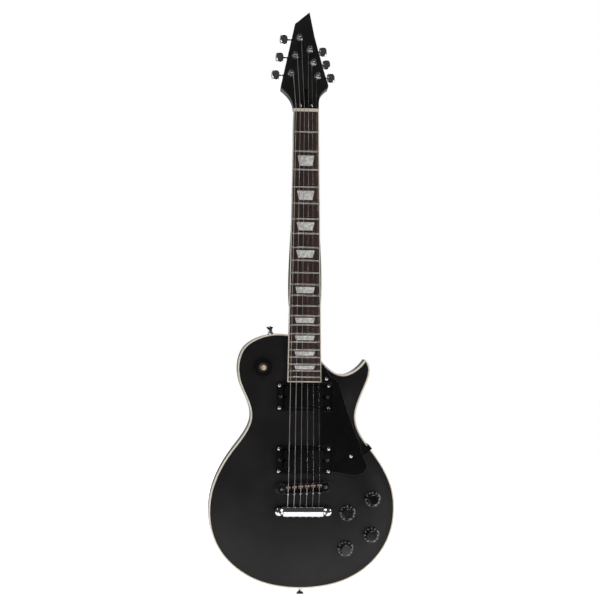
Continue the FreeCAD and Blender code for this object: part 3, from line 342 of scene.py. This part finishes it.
def platedMetal(name, look):
    # chrome, nickel, steel, brass and black plating are one make-up
    material, tree = newTree(name)
    place = tree.nodes.new("ShaderNodeTexCoord")
    place.label = "place on the metal"
    tarnish = tree.nodes.new("ShaderNodeTexNoise")
    tarnish.label = "finger marks and tarnish"
    colour = tree.nodes.new("ShaderNodeValToRGB")
    colour.label = "clean to tarnished"
    polish = tree.nodes.new("ShaderNodeMapRange")
    polish.label = "marks are duller"
    brush = tree.nodes.new("ShaderNodeMapping")
    brush.label = "polishing lines run one way"
    lines = tree.nodes.new("ShaderNodeTexNoise")
    lines.label = "fine polishing lines"
    lineBump = tree.nodes.new("ShaderNodeBump")
    lineBump.label = "line depth"
    shader = tree.nodes.new("ShaderNodeBsdfPrincipled")
    shader.label = "plated metal"
    output = tree.nodes.new("ShaderNodeOutputMaterial")
    output.label = "surface"
    layOut(tree, [("position", [place]), ("tarnish", [tarnish, colour, polish]),
                  ("polishing", [brush, lines, lineBump]), ("finish", [shader, output])])

    tarnish.inputs["Scale"].default_value = 110
    tarnish.inputs["Detail"].default_value = 5
    colour.color_ramp.elements[0].position = 0.42
    colour.color_ramp.elements[0].color = (*look["clean"], 1)
    colour.color_ramp.elements[1].position = 0.8
    colour.color_ramp.elements[1].color = (*look["dull"], 1)
    polish.inputs["From Min"].default_value = 0.4
    polish.inputs["From Max"].default_value = 0.8
    polish.inputs["To Min"].default_value = look["roughness"]
    polish.inputs["To Max"].default_value = look["roughness"] + 0.14
    brush.inputs["Scale"].default_value = (1, 1, 0.08)
    lines.inputs["Scale"].default_value = 2600
    lineBump.inputs["Strength"].default_value = look["lines"]
    lineBump.inputs["Distance"].default_value = 0.00005
    shader.inputs["Metallic"].default_value = look["metallic"]

    tree.links.new(place.outputs["Object"], tarnish.inputs["Vector"])
    tree.links.new(tarnish.outputs["Fac"], colour.inputs["Fac"])
    tree.links.new(tarnish.outputs["Fac"], polish.inputs["Value"])
    tree.links.new(place.outputs["Object"], brush.inputs["Vector"])
    tree.links.new(brush.outputs["Vector"], lines.inputs["Vector"])
    tree.links.new(lines.outputs["Fac"], lineBump.inputs["Height"])
    tree.links.new(colour.outputs["Color"], shader.inputs["Base Color"])
    tree.links.new(polish.outputs["Result"], shader.inputs["Roughness"])
    tree.links.new(lineBump.outputs["Normal"], shader.inputs["Normal"])
    tree.links.new(shader.outputs["BSDF"], output.inputs["Surface"])
    return material


def mouldedBlack(name, look):
    material, tree = newTree(name)
    place = tree.nodes.new("ShaderNodeTexCoord")
    place.label = "place on the plastic"
    smear = tree.nodes.new("ShaderNodeTexNoise")
    smear.label = "wiping smears"
    gloss = tree.nodes.new("ShaderNodeMapRange")
    gloss.label = "smears are duller"
    dust = tree.nodes.new("ShaderNodeTexVoronoi")
    dust.label = "specks of dust"
    dustMask = tree.nodes.new("ShaderNodeMapRange")
    dustMask.label = "only the middle of a cell is a speck"
    dusty = tree.nodes.new("ShaderNodeMix")
    dusty.label = "dust on black"
    ripple = tree.nodes.new("ShaderNodeTexNoise")
    ripple.label = "moulding ripple"
    rippleBump = tree.nodes.new("ShaderNodeBump")
    rippleBump.label = "ripple depth"
    shader = tree.nodes.new("ShaderNodeBsdfPrincipled")
    shader.label = "black plastic"
    output = tree.nodes.new("ShaderNodeOutputMaterial")
    output.label = "surface"
    layOut(tree, [("position", [place]), ("smears", [smear, gloss]),
                  ("dust", [dust, dustMask, dusty]), ("moulding", [ripple, rippleBump]),
                  ("finish", [shader, output])])

    smear.inputs["Scale"].default_value = 45
    smear.inputs["Detail"].default_value = 6
    smear.inputs["Distortion"].default_value = 0.8
    gloss.inputs["From Min"].default_value = 0.35
    gloss.inputs["From Max"].default_value = 0.7
    gloss.inputs["To Min"].default_value = look["roughness"]
    gloss.inputs["To Max"].default_value = look["roughness"] + 0.12
    dust.inputs["Scale"].default_value = 380
    dustMask.inputs["From Min"].default_value = 0.05
    dustMask.inputs["From Max"].default_value = 0.11
    dustMask.inputs["To Min"].default_value = look["dust"]
    dustMask.inputs["To Max"].default_value = 0
    dusty.data_type = "RGBA"
    dusty.inputs["A"].default_value = (*look["black"], 1)
    dusty.inputs["B"].default_value = (0.16, 0.15, 0.14, 1)
    ripple.inputs["Scale"].default_value = look["rippleScale"]
    ripple.inputs["Detail"].default_value = 2
    rippleBump.inputs["Strength"].default_value = look["ripple"]
    rippleBump.inputs["Distance"].default_value = 0.0002
    shader.inputs["Specular IOR Level"].default_value = 0.5

    tree.links.new(place.outputs["Object"], smear.inputs["Vector"])
    tree.links.new(smear.outputs["Fac"], gloss.inputs["Value"])
    tree.links.new(place.outputs["Object"], dust.inputs["Vector"])
    tree.links.new(dust.outputs["Distance"], dustMask.inputs["Value"])
    tree.links.new(dustMask.outputs["Result"], dusty.inputs["Factor"])
    tree.links.new(place.outputs["Object"], ripple.inputs["Vector"])
    tree.links.new(ripple.outputs["Fac"], rippleBump.inputs["Height"])
    tree.links.new(dusty.outputs["Result"], shader.inputs["Base Color"])
    tree.links.new(gloss.outputs["Result"], shader.inputs["Roughness"])
    tree.links.new(rippleBump.outputs["Normal"], shader.inputs["Normal"])
    tree.links.new(shader.outputs["BSDF"], output.inputs["Surface"])
    return material


def frontAndBack(name, look):
    # one node of two materials: metal or plastic in front of a plane, another behind it
    material, tree = newTree(name)
    place = tree.nodes.new("ShaderNodeTexCoord")
    place.label = "place on the switch"
    axes = tree.nodes.new("ShaderNodeSeparateXYZ")
    axes.label = "depth into the body"
    behind = tree.nodes.new("ShaderNodeMath")
    behind.label = "behind the plane or not"
    tarnish = tree.nodes.new("ShaderNodeTexNoise")
    tarnish.label = "finger marks"
    frontTone = tree.nodes.new("ShaderNodeValToRGB")
    frontTone.label = "front: clean to marked"
    backTone = tree.nodes.new("ShaderNodeValToRGB")
    backTone.label = "back: clean to marked"
    colour = tree.nodes.new("ShaderNodeMix")
    colour.label = "front or back colour"
    metal = tree.nodes.new("ShaderNodeMapRange")
    metal.label = "front or back metal"
    polish = tree.nodes.new("ShaderNodeMapRange")
    polish.label = "front or back roughness"
    marks = tree.nodes.new("ShaderNodeMath")
    marks.label = "marks are duller"
    shader = tree.nodes.new("ShaderNodeBsdfPrincipled")
    shader.label = "switch"
    output = tree.nodes.new("ShaderNodeOutputMaterial")
    output.label = "surface"
    layOut(tree, [("position", [place, axes, behind]), ("marks", [tarnish, frontTone, backTone]),
                  ("choice", [colour, metal, polish, marks]), ("finish", [shader, output])])

    behind.operation = "GREATER_THAN"
    behind.inputs[1].default_value = look["plane"]
    tarnish.inputs["Scale"].default_value = 260
    tarnish.inputs["Detail"].default_value = 4
    frontTone.color_ramp.elements[0].position = 0.4
    frontTone.color_ramp.elements[0].color = (*look["front"], 1)
    frontTone.color_ramp.elements[1].position = 0.85
    frontTone.color_ramp.elements[1].color = (*look["frontMarked"], 1)
    backTone.color_ramp.elements[0].position = 0.4
    backTone.color_ramp.elements[0].color = (*look["back"], 1)
    backTone.color_ramp.elements[1].position = 0.85
    backTone.color_ramp.elements[1].color = (*look["backMarked"], 1)
    colour.data_type = "RGBA"
    metal.inputs["To Min"].default_value = look["metallic"][0]
    metal.inputs["To Max"].default_value = look["metallic"][1]
    polish.inputs["To Min"].default_value = look["roughness"][0]
    polish.inputs["To Max"].default_value = look["roughness"][1]
    marks.operation = "MULTIPLY_ADD"
    marks.inputs[1].default_value = 0.12

    tree.links.new(place.outputs["Object"], axes.inputs["Vector"])
    tree.links.new(axes.outputs["Y"], behind.inputs[0])
    tree.links.new(place.outputs["Object"], tarnish.inputs["Vector"])
    tree.links.new(tarnish.outputs["Fac"], frontTone.inputs["Fac"])
    tree.links.new(tarnish.outputs["Fac"], backTone.inputs["Fac"])
    tree.links.new(behind.outputs["Value"], colour.inputs["Factor"])
    tree.links.new(frontTone.outputs["Color"], colour.inputs["A"])
    tree.links.new(backTone.outputs["Color"], colour.inputs["B"])
    tree.links.new(behind.outputs["Value"], metal.inputs["Value"])
    tree.links.new(behind.outputs["Value"], polish.inputs["Value"])
    tree.links.new(tarnish.outputs["Fac"], marks.inputs[0])
    tree.links.new(polish.outputs["Result"], marks.inputs[2])
    tree.links.new(colour.outputs["Result"], shader.inputs["Base Color"])
    tree.links.new(metal.outputs["Result"], shader.inputs["Metallic"])
    tree.links.new(marks.outputs["Value"], shader.inputs["Roughness"])
    tree.links.new(shader.outputs["BSDF"], output.inputs["Surface"])
    return material


def printedInk(name, look):
    material, tree = newTree(name)
    place = tree.nodes.new("ShaderNodeTexCoord")
    place.label = "place on the print"
    rub = tree.nodes.new("ShaderNodeTexNoise")
    rub.label = "rubbed by fingers"
    tone = tree.nodes.new("ShaderNodeValToRGB")
    tone.label = "full ink to thin ink"
    shader = tree.nodes.new("ShaderNodeBsdfPrincipled")
    shader.label = "ink"
    output = tree.nodes.new("ShaderNodeOutputMaterial")
    output.label = "surface"
    layOut(tree, [("position", [place]), ("wear", [rub, tone]), ("finish", [shader, output])])

    rub.inputs["Scale"].default_value = look["rubScale"]
    rub.inputs["Detail"].default_value = 5
    tone.color_ramp.elements[0].position = 0.35
    tone.color_ramp.elements[0].color = (*look["full"], 1)
    tone.color_ramp.elements[1].position = 0.75
    tone.color_ramp.elements[1].color = (*look["thin"], 1)
    shader.inputs["Roughness"].default_value = look["roughness"]

    tree.links.new(place.outputs["Object"], rub.inputs["Vector"])
    tree.links.new(rub.outputs["Fac"], tone.inputs["Fac"])
    tree.links.new(tone.outputs["Color"], shader.inputs["Base Color"])
    tree.links.new(shader.outputs["BSDF"], output.inputs["Surface"])
    return material


def stringWire(name, look):
    # turns of the outer wire show as fine rings along the string
    material, tree = newTree(name)
    place = tree.nodes.new("ShaderNodeTexCoord")
    place.label = "place on the string"
    rings = tree.nodes.new("ShaderNodeTexWave")
    rings.label = "turns of the outer wire"
    ringBump = tree.nodes.new("ShaderNodeBump")
    ringBump.label = "each turn is round"
    wear = tree.nodes.new("ShaderNodeTexNoise")
    wear.label = "played and unplayed stretches"
    colour = tree.nodes.new("ShaderNodeValToRGB")
    colour.label = "bright to dull wire"
    shader = tree.nodes.new("ShaderNodeBsdfPrincipled")
    shader.label = "string wire"
    output = tree.nodes.new("ShaderNodeOutputMaterial")
    output.label = "surface"
    layOut(tree, [("position", [place]), ("winding", [rings, ringBump]),
                  ("wear", [wear, colour]), ("finish", [shader, output])])

    rings.wave_type = "BANDS"
    rings.bands_direction = "Z"
    rings.inputs["Scale"].default_value = look["turns"]
    ringBump.inputs["Strength"].default_value = look["depth"]
    ringBump.inputs["Distance"].default_value = 0.00008
    wear.inputs["Scale"].default_value = 24
    colour.color_ramp.elements[0].position = 0.35
    colour.color_ramp.elements[0].color = (*look["bright"], 1)
    colour.color_ramp.elements[1].position = 0.7
    colour.color_ramp.elements[1].color = (*look["dull"], 1)
    shader.inputs["Metallic"].default_value = 1
    shader.inputs["Roughness"].default_value = look["roughness"]

    tree.links.new(place.outputs["Object"], rings.inputs["Vector"])
    tree.links.new(rings.outputs["Fac"], ringBump.inputs["Height"])
    tree.links.new(place.outputs["Object"], wear.inputs["Vector"])
    tree.links.new(wear.outputs["Fac"], colour.inputs["Fac"])
    tree.links.new(colour.outputs["Color"], shader.inputs["Base Color"])
    tree.links.new(ringBump.outputs["Normal"], shader.inputs["Normal"])
    tree.links.new(shader.outputs["BSDF"], output.inputs["Surface"])
    return material


def studioPaper(name, look):
    material, tree = newTree(name)
    place = tree.nodes.new("ShaderNodeTexCoord")
    place.label = "place on the paper"
    fibre = tree.nodes.new("ShaderNodeTexNoise")
    fibre.label = "paper fibre"
    tone = tree.nodes.new("ShaderNodeValToRGB")
    tone.label = "barely uneven white"
    shader = tree.nodes.new("ShaderNodeBsdfPrincipled")
    shader.label = "white paper"
    output = tree.nodes.new("ShaderNodeOutputMaterial")
    output.label = "surface"
    layOut(tree, [("position", [place]), ("fibre", [fibre, tone]), ("finish", [shader, output])])

    fibre.inputs["Scale"].default_value = 60
    tone.color_ramp.elements[0].color = (*look["shade"], 1)
    tone.color_ramp.elements[1].color = (*look["white"], 1)
    shader.inputs["Roughness"].default_value = 0.9
    shader.inputs["Specular IOR Level"].default_value = 0.1
    shader.inputs["Emission Color"].default_value = (1, 1, 1, 1)
    shader.inputs["Emission Strength"].default_value = look["glow"]

    tree.links.new(place.outputs["Object"], fibre.inputs["Vector"])
    tree.links.new(fibre.outputs["Fac"], tone.inputs["Fac"])
    tree.links.new(tone.outputs["Color"], shader.inputs["Base Color"])
    tree.links.new(shader.outputs["BSDF"], output.inputs["Surface"])
    return material


# metres behind the front of the piece where its second material starts
changes = {
    "underNut": 0.0031,         # the black washer lies under the round nut
    "underTip": 0.0136,         # the plated stem comes out under the tip
}
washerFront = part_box("toggle_switch")[0].y + changes["underNut"]
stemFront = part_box("toggle_lever")[0].y + changes["underTip"]
finishes = {
    "switch": frontAndBack("switch_metal_and_washer", {
        "plane": washerFront, "front": (0.78, 0.76, 0.72), "frontMarked": (0.5, 0.49, 0.47),
        "back": (0.004, 0.004, 0.004), "backMarked": (0.012, 0.011, 0.01), "metallic": (1, 0),
        "roughness": (0.05, 0.06)}),
    "lever": frontAndBack("switch_tip_and_stem", {
        "plane": stemFront, "front": (0.72, 0.60, 0.40), "frontMarked": (0.5, 0.36, 0.2),
        "back": (0.6, 0.58, 0.55), "backMarked": (0.4, 0.39, 0.37), "metallic": (0, 1),
        "roughness": (0.12, 0.15)}),
    "body": satinLacquer("black_satin_wood", {
        "dark": (0.0074, 0.0064, 0.0064), "pale": (0.0158, 0.0142, 0.0142),
        "cloudScale": 9, "roughness": 0.42}),
    "neck": satinLacquer("black_satin_neck", {
        "dark": (0.0068, 0.0064, 0.0062), "pale": (0.0115, 0.0106, 0.0100),
        "cloudScale": 14, "roughness": 0.34}),
    "binding": clearPlastic("cream_binding", {
        "pale": (0.86, 0.80, 0.69), "aged": (0.77, 0.68, 0.55), "roughness": 0.3, "glow": 0.08}),
    "nut": clearPlastic("bone_nut", {
        "pale": (0.84, 0.79, 0.68), "aged": (0.74, 0.67, 0.54), "roughness": 0.34, "glow": 0.08}),
    "board": rosewood("rosewood", {
        "dark": (0.016, 0.0085, 0.007), "light": (0.062, 0.028, 0.02), "pore": (0.006, 0.0035, 0.003),
        "roughness": 0.42}),
    "pearl": pearl("pearl", {
        "silver": (0.56, 0.58, 0.60), "cream": (0.80, 0.77, 0.72), "white": (0.93, 0.93, 0.92)}),
    "chrome": platedMetal("chrome", {
        "clean": (0.80, 0.81, 0.83), "dull": (0.66, 0.67, 0.69), "roughness": 0.05, "lines": 0.03,
        "metallic": 1.0}),
    "steel": platedMetal("screw_steel", {
        "clean": (0.66, 0.66, 0.67), "dull": (0.45, 0.45, 0.46), "roughness": 0.16, "lines": 0.08,
        "metallic": 1.0}),
    "nickel": platedMetal("nickel", {
        "clean": (0.62, 0.58, 0.52), "dull": (0.42, 0.39, 0.35), "roughness": 0.2, "lines": 0.08,
        "metallic": 1.0}),
    "fretWire": platedMetal("fret_wire", {
        "clean": (0.72, 0.70, 0.66), "dull": (0.52, 0.50, 0.47), "roughness": 0.14, "lines": 0.05,
        "metallic": 1.0}),
    "blackMetal": platedMetal("black_metal", {
        "clean": (0.030, 0.029, 0.030), "dull": (0.055, 0.052, 0.05), "roughness": 0.16, "lines": 0.05,
        "metallic": 0.9}),
    "saddle": platedMetal("saddle_brass", {
        "clean": (0.42, 0.31, 0.26), "dull": (0.24, 0.18, 0.15), "roughness": 0.2, "lines": 0.06,
        "metallic": 1.0}),
    "pole": platedMetal("pole_screws", {
        "clean": (0.060, 0.058, 0.058), "dull": (0.035, 0.034, 0.034), "roughness": 0.2, "lines": 0.05,
        "metallic": 1.0}),
    "guard": mouldedBlack("guard_plastic", {
        "black": (0.0035, 0.0035, 0.0036), "roughness": 0.07, "dust": 0.35, "ripple": 0.02,
        "rippleScale": 60}),
    "bobbin": mouldedBlack("bobbin_plastic", {
        "black": (0.004, 0.004, 0.0042), "roughness": 0.12, "dust": 0.25, "ripple": 0.03,
        "rippleScale": 160}),
    "knob": mouldedBlack("knob_plastic", {
        "black": (0.0035, 0.0035, 0.0035), "roughness": 0.1, "dust": 0.2, "ripple": 0.02,
        "rippleScale": 220}),
    "cover": mouldedBlack("cover_plastic", {
        "black": (0.008, 0.008, 0.008), "roughness": 0.4, "dust": 0.3, "ripple": 0.25,
        "rippleScale": 900}),
    "plainString": stringWire("plain_string", {
        "bright": (0.56, 0.55, 0.54), "dull": (0.42, 0.41, 0.40), "turns": 2000, "depth": 0.02,
        "roughness": 0.22}),
    "woundString": stringWire("wound_string", {
        "bright": (0.42, 0.41, 0.39), "dull": (0.27, 0.26, 0.25), "turns": 1100, "depth": 0.5,
        "roughness": 0.32}),
}

# which finish each CAD node wears; a name that ends in _ stands for the numbered nodes
worn = {
    "body_back": "body", "body_top": "body", "body_binding": "binding",
    "control_cover": "cover", "switch_cover": "cover", "neck": "neck", "truss_rod": "steel",
    "truss_rod_cover": "guard", "fret_inlays": "pearl", "fretboard": "board",
    "fretboard_binding": "binding", "frets": "fretWire", "nut": "nut", "bridge": "blackMetal",
    "bridge_posts": "steel", "saddle_": "saddle", "intonation_screws": "steel",
    "tailpiece": "chrome", "tailpiece_studs": "chrome", "plain_strings": "plainString",
    "wound_strings": "woundString", "neck_pickup": "bobbin", "neck_pickup_poles": "pole",
    "bridge_pickup": "bobbin", "bridge_pickup_poles": "pole", "pickup_rings": "bobbin",
    "pickup_ring_screws": "chrome", "pickup_height_screws": "pole", "knob_": "knob",
    "control_pots": "nickel", "toggle_switch": "switch", "toggle_lever": "lever",
    "jack_plate": "chrome", "output_jack": "nickel", "strap_buttons": "chrome",
    "tuner_post_": "chrome", "tuner_button_": "chrome", "tuner_bushings": "chrome",
    "tuner_housings": "chrome", "pickguard": "guard", "pickguard_bracket": "blackMetal",
    "small_wood_screws": "chrome",
}


def dress(piece, material):
    piece.data.materials.clear()
    piece.data.materials.append(material)


def dressNodes():
    for name, node in nodes.items():
        key = name if name in worn else name.rstrip("0123456789")
        dress(node, finishes[worn[key]])


dressNodes()
print("finishes on", len(nodes), "nodes")

numerals = {
    "knobs": 4,
    "highest": 10,
    "size": 0.0031,             # height of a numeral
    "fontScale": 1.35,          # a numeral is about three quarters of its font's size
    "smoothness": 3,            # steps in each bend of a numeral
    "radius": 0.0113,           # middle of the numerals on the skirt
    "sweep": math.radians(300),
    "skirt": [(0.0090, 0.0070), (0.0099, 0.0038), (0.0122, 0.0019), (0.0136, 0.0013)],  # radius, height
    "knobHeight": 0.0154,
    "proud": 0.00006,           # how far the ink stands off the skirt, and reaches into it
    "weld": 1e-7,
    "ink": {"full": (0.44, 0.43, 0.41), "thin": (0.28, 0.27, 0.26), "rubScale": 900, "roughness": 0.5},
}


def skirtHeight(radius):
    skirt = numerals["skirt"]
    for (r0, h0), (r1, h1) in zip(skirt, skirt[1:]):
        if radius <= r1:
            return h0 + (h1 - h0) * (radius - r0) / (r1 - r0)
    return skirt[-1][1]


def plainMesh(holder):
    # the finished shape as a plain mesh; the object that made it goes
    bpy.context.view_layer.update()
    mesh = bpy.data.meshes.new_from_object(holder.evaluated_get(bpy.context.evaluated_depsgraph_get()))
    bpy.data.objects.remove(holder)
    return mesh


def numeralMesh(text):
    curve = bpy.data.curves.new("numeral", "FONT")
    curve.body = text
    curve.align_x = "CENTER"
    curve.align_y = "CENTER"
    curve.size = numerals["size"] * numerals["fontScale"]
    curve.extrude = 0.5                         # only marks front and back until it is wrapped
    curve.resolution_u = numerals["smoothness"]
    holder = addPiece("numeral", curve)
    mesh = plainMesh(holder)
    bpy.data.curves.remove(curve)
    return mesh


def wrapNumeral(shape, mesh, angle, centre, front):
    # across the numeral runs round the knob, and its height runs down the skirt
    start = len(shape.verts)
    shape.from_mesh(mesh)
    shape.verts.ensure_lookup_table()
    for vert in shape.verts[start:]:
        radius = numerals["radius"] + vert.co.y
        turn = angle - vert.co.x / numerals["radius"]
        lift = numerals["proud"] if vert.co.z > 0 else -numerals["proud"]
        height = skirtHeight(radius) + lift
        vert.co = Vector((centre.x + radius * math.cos(turn), front + numerals["knobHeight"] - height,
                          centre.z + radius * math.sin(turn)))


def makeNumerals():
    ink = printedInk("knob_ink", numerals["ink"])
    meshes = [numeralMesh(str(number)) for number in range(numerals["highest"] + 1)]
    for knob in range(1, numerals["knobs"] + 1):
        low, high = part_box("knob_" + str(knob))
        shape = bmesh.new()
        for number, mesh in enumerate(meshes):
            angle = math.radians(90) - numerals["sweep"] * (number / numerals["highest"] - 0.5)
            wrapNumeral(shape, mesh, angle, (low + high) / 2, low.y)
        bmesh.ops.remove_doubles(shape, verts=shape.verts, dist=numerals["weld"])
        bmesh.ops.recalc_face_normals(shape, faces=shape.faces)
        mesh = bpy.data.meshes.new("knob_numerals_" + str(knob))
        shape.to_mesh(mesh)
        shape.free()
        piece = addPiece(mesh.name, mesh)
        dress(piece, ink)
        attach(piece, "knob_" + str(knob))


makeNumerals()
print("numerals on the knobs")

sideDots = {
    "frets": [3, 5, 7, 9, 12, 15, 17, 19, 21],
    "pairAt": 12,               # two dots at the octave
    "scale": 0.62865,           # nut to bridge, sounding length of a string
    "neckLean": math.radians(4),
    "nutHalf": 0.0217, "endHalf": 0.0288, "endAt": 0.461,     # half widths of the board
    "depth": 0.0031,            # below the playing surface
    "radius": 0.00105,
    "long": 0.0008,
    "sides": 24,
    "pairGap": 0.0052,
    "ink": {"full": (0.010, 0.009, 0.008), "thin": (0.02, 0.018, 0.016), "rubScale": 600,
            "roughness": 0.3},
}


def fretPlace(number):
    return -sideDots["scale"] * (1 - 2 ** (-number / 12))


def dotPlaces():
    places = []
    for number in sideDots["frets"]:
        along = (fretPlace(number) + fretPlace(number - 1)) / 2
        pair = [-sideDots["pairGap"] / 2, sideDots["pairGap"] / 2] if number == sideDots["pairAt"] else [0]
        for shift in pair:
            at = along + shift
            growth = (sideDots["endHalf"] - sideDots["nutHalf"]) * -at / sideDots["endAt"]
            places.append(Vector((-sideDots["nutHalf"] - growth, sideDots["depth"], at)))
    lean = Matrix.Rotation(-sideDots["neckLean"], 4, "X")
    return [lean @ place for place in places]


def dotTree(ink):
    # a short round pin at each point, lying across the neck
    tree = bpy.data.node_groups.new("sideDots", "GeometryNodeTree")
    tree.interface.new_socket("Geometry", in_out="INPUT", socket_type="NodeSocketGeometry")
    radius = tree.interface.new_socket("Dot radius", in_out="INPUT", socket_type="NodeSocketFloat")
    length = tree.interface.new_socket("Dot length", in_out="INPUT", socket_type="NodeSocketFloat")
    tree.interface.new_socket("Geometry", in_out="OUTPUT", socket_type="NodeSocketGeometry")
    entry = tree.nodes.new("NodeGroupInput")
    entry.label = "places and sizes"
    pin = tree.nodes.new("GeometryNodeMeshCylinder")
    pin.label = "one pin"
    across = tree.nodes.new("GeometryNodeTransform")
    across.label = "turned across the neck"
    spread = tree.nodes.new("GeometryNodeInstanceOnPoints")
    spread.label = "a pin at each place"
    real = tree.nodes.new("GeometryNodeRealizeInstances")
    real.label = "real meshes"
    inked = tree.nodes.new("GeometryNodeSetMaterial")
    inked.label = "black plastic"
    leave = tree.nodes.new("NodeGroupOutput")
    leave.label = "dots"
    layOut(tree, [("input", [entry]), ("pin", [pin, across]), ("repeat", [spread, real]),
                  ("finish", [inked, leave])])

    pin.inputs["Vertices"].default_value = sideDots["sides"]
    across.inputs["Rotation"].default_value = (0, math.radians(90), 0)
    inked.inputs["Material"].default_value = ink

    tree.links.new(entry.outputs["Dot radius"], pin.inputs["Radius"])
    tree.links.new(entry.outputs["Dot length"], pin.inputs["Depth"])
    tree.links.new(pin.outputs["Mesh"], across.inputs["Geometry"])
    tree.links.new(entry.outputs["Geometry"], spread.inputs["Points"])
    tree.links.new(across.outputs["Geometry"], spread.inputs["Instance"])
    tree.links.new(spread.outputs["Instances"], real.inputs["Geometry"])
    tree.links.new(real.outputs["Geometry"], inked.inputs["Geometry"])
    tree.links.new(inked.outputs["Geometry"], leave.inputs["Geometry"])
    return tree, radius.identifier, length.identifier


def makeSideDots():
    ink = printedInk("side_dot_plastic", sideDots["ink"])
    points = bpy.data.meshes.new("sideDotPlaces")
    points.from_pydata(dotPlaces(), [], [])
    holder = addPiece("sideDotPlaces", points)
    tree, radiusSocket, lengthSocket = dotTree(ink)
    grower = holder.modifiers.new("sideDots", "NODES")
    grower.node_group = tree
    grower[radiusSocket] = sideDots["radius"]
    grower[lengthSocket] = sideDots["long"]
    mesh = plainMesh(holder)
    mesh.name = "side_dots"
    piece = addPiece("side_dots", mesh)
    dress(piece, ink)
    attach(piece, mainBody)


makeSideDots()
print("side dots made")

floor = {
    "radius": 1.9,
    "sides": 96,
    "behind": 1.1,          # its middle lies behind the guitar
    "below": 0.0008,        # under the lowest point of the guitar
    "look": {"shade": (0.86, 0.86, 0.86), "white": (0.92, 0.92, 0.92), "glow": 0.74},
}


def makeFloor():
    mesh = bpy.data.meshes.new("floor")
    shape = bmesh.new()
    bmesh.ops.create_circle(shape, cap_ends=True, segments=floor["sides"], radius=floor["radius"])
    middle = (0, floor["behind"], cadBounds[0][2] - floor["below"])
    bmesh.ops.translate(shape, vec=middle, verts=shape.verts)
    shape.to_mesh(mesh)
    shape.free()
    piece = addPiece("floor", mesh)
    dress(piece, studioPaper("studio_paper", floor["look"]))


makeFloor()

lampAim = Vector((0, 0, -0.45))         # upper half of the body
# place, width, height, watts
lamps = {
    "keyBox": [(-1.5, -2.1, 1.1), 1.0, 1.4, 15],
    "fillBox": [(2.2, -1.6, 0.1), 0.6, 1.8, 24],
    "topBox": [(0.1, -0.3, 1.9), 1.4, 0.8, 14],
    "rearBox": [(0.6, 2.2, 0.9), 1.6, 1.6, 26],
}


def makeLamps():
    for name, (place, width, height, watts) in lamps.items():
        lamp = bpy.data.lights.new(name, "AREA")
        lamp.shape = "RECTANGLE"
        lamp.size = width
        lamp.size_y = height
        lamp.energy = watts
        holder = addPiece(name, lamp)
        holder.location = place
        holder.rotation_euler = (lampAim - Vector(place)).to_track_quat("-Z", "Y").to_euler()


studio = {
    "paper": 1.0,           # what the camera sees all round
    "room": 0.5,            # light from the sides, the top and behind
    "dark": 0.05,           # light from in front, where the room is unlit
    "darkUpTo": -0.6,       # along the direction's front to back share, -1 is straight in front
    "litFrom": 0.2,
}


def makeWorld():
    # the studio is white where it is looked at, and dimmer where it lights the guitar
    world = bpy.data.worlds.new("studio")
    world.use_nodes = True
    tree = world.node_tree
    tree.nodes.clear()
    way = tree.nodes.new("ShaderNodeTexCoord")
    way.label = "direction into the room"
    axes = tree.nodes.new("ShaderNodeSeparateXYZ")
    axes.label = "front to back"
    fall = tree.nodes.new("ShaderNodeMapRange")
    fall.label = "darker in front"
    seen = tree.nodes.new("ShaderNodeBackground")
    seen.label = "white paper all round"
    room = tree.nodes.new("ShaderNodeBackground")
    room.label = "dim room beyond the lamps"
    direct = tree.nodes.new("ShaderNodeLightPath")
    direct.label = "seen directly or not"
    choose = tree.nodes.new("ShaderNodeMixShader")
    choose.label = "paper or room"
    output = tree.nodes.new("ShaderNodeOutputWorld")
    output.label = "studio"
    layOut(tree, [("room", [way, axes, fall]), ("light", [seen, room]),
                  ("choice", [direct, choose, output])])

    fall.inputs["From Min"].default_value = studio["darkUpTo"]
    fall.inputs["From Max"].default_value = studio["litFrom"]
    fall.inputs["To Min"].default_value = studio["dark"]
    fall.inputs["To Max"].default_value = studio["room"]
    seen.inputs["Strength"].default_value = studio["paper"]
    seen.inputs["Color"].default_value = (1, 1, 1, 1)
    room.inputs["Color"].default_value = (1, 1, 1, 1)

    tree.links.new(way.outputs["Generated"], axes.inputs["Vector"])
    tree.links.new(axes.outputs["Y"], fall.inputs["Value"])
    tree.links.new(fall.outputs["Result"], room.inputs["Strength"])
    tree.links.new(direct.outputs["Is Camera Ray"], choose.inputs["Fac"])
    tree.links.new(room.outputs["Background"], choose.inputs[1])
    tree.links.new(seen.outputs["Background"], choose.inputs[2])
    tree.links.new(choose.outputs["Shader"], output.inputs["Surface"])
    bpy.context.scene.world = world


makeLamps()
makeWorld()
bpy.context.scene.view_settings.view_transform = "Standard"
print("floor, lamps and studio made")
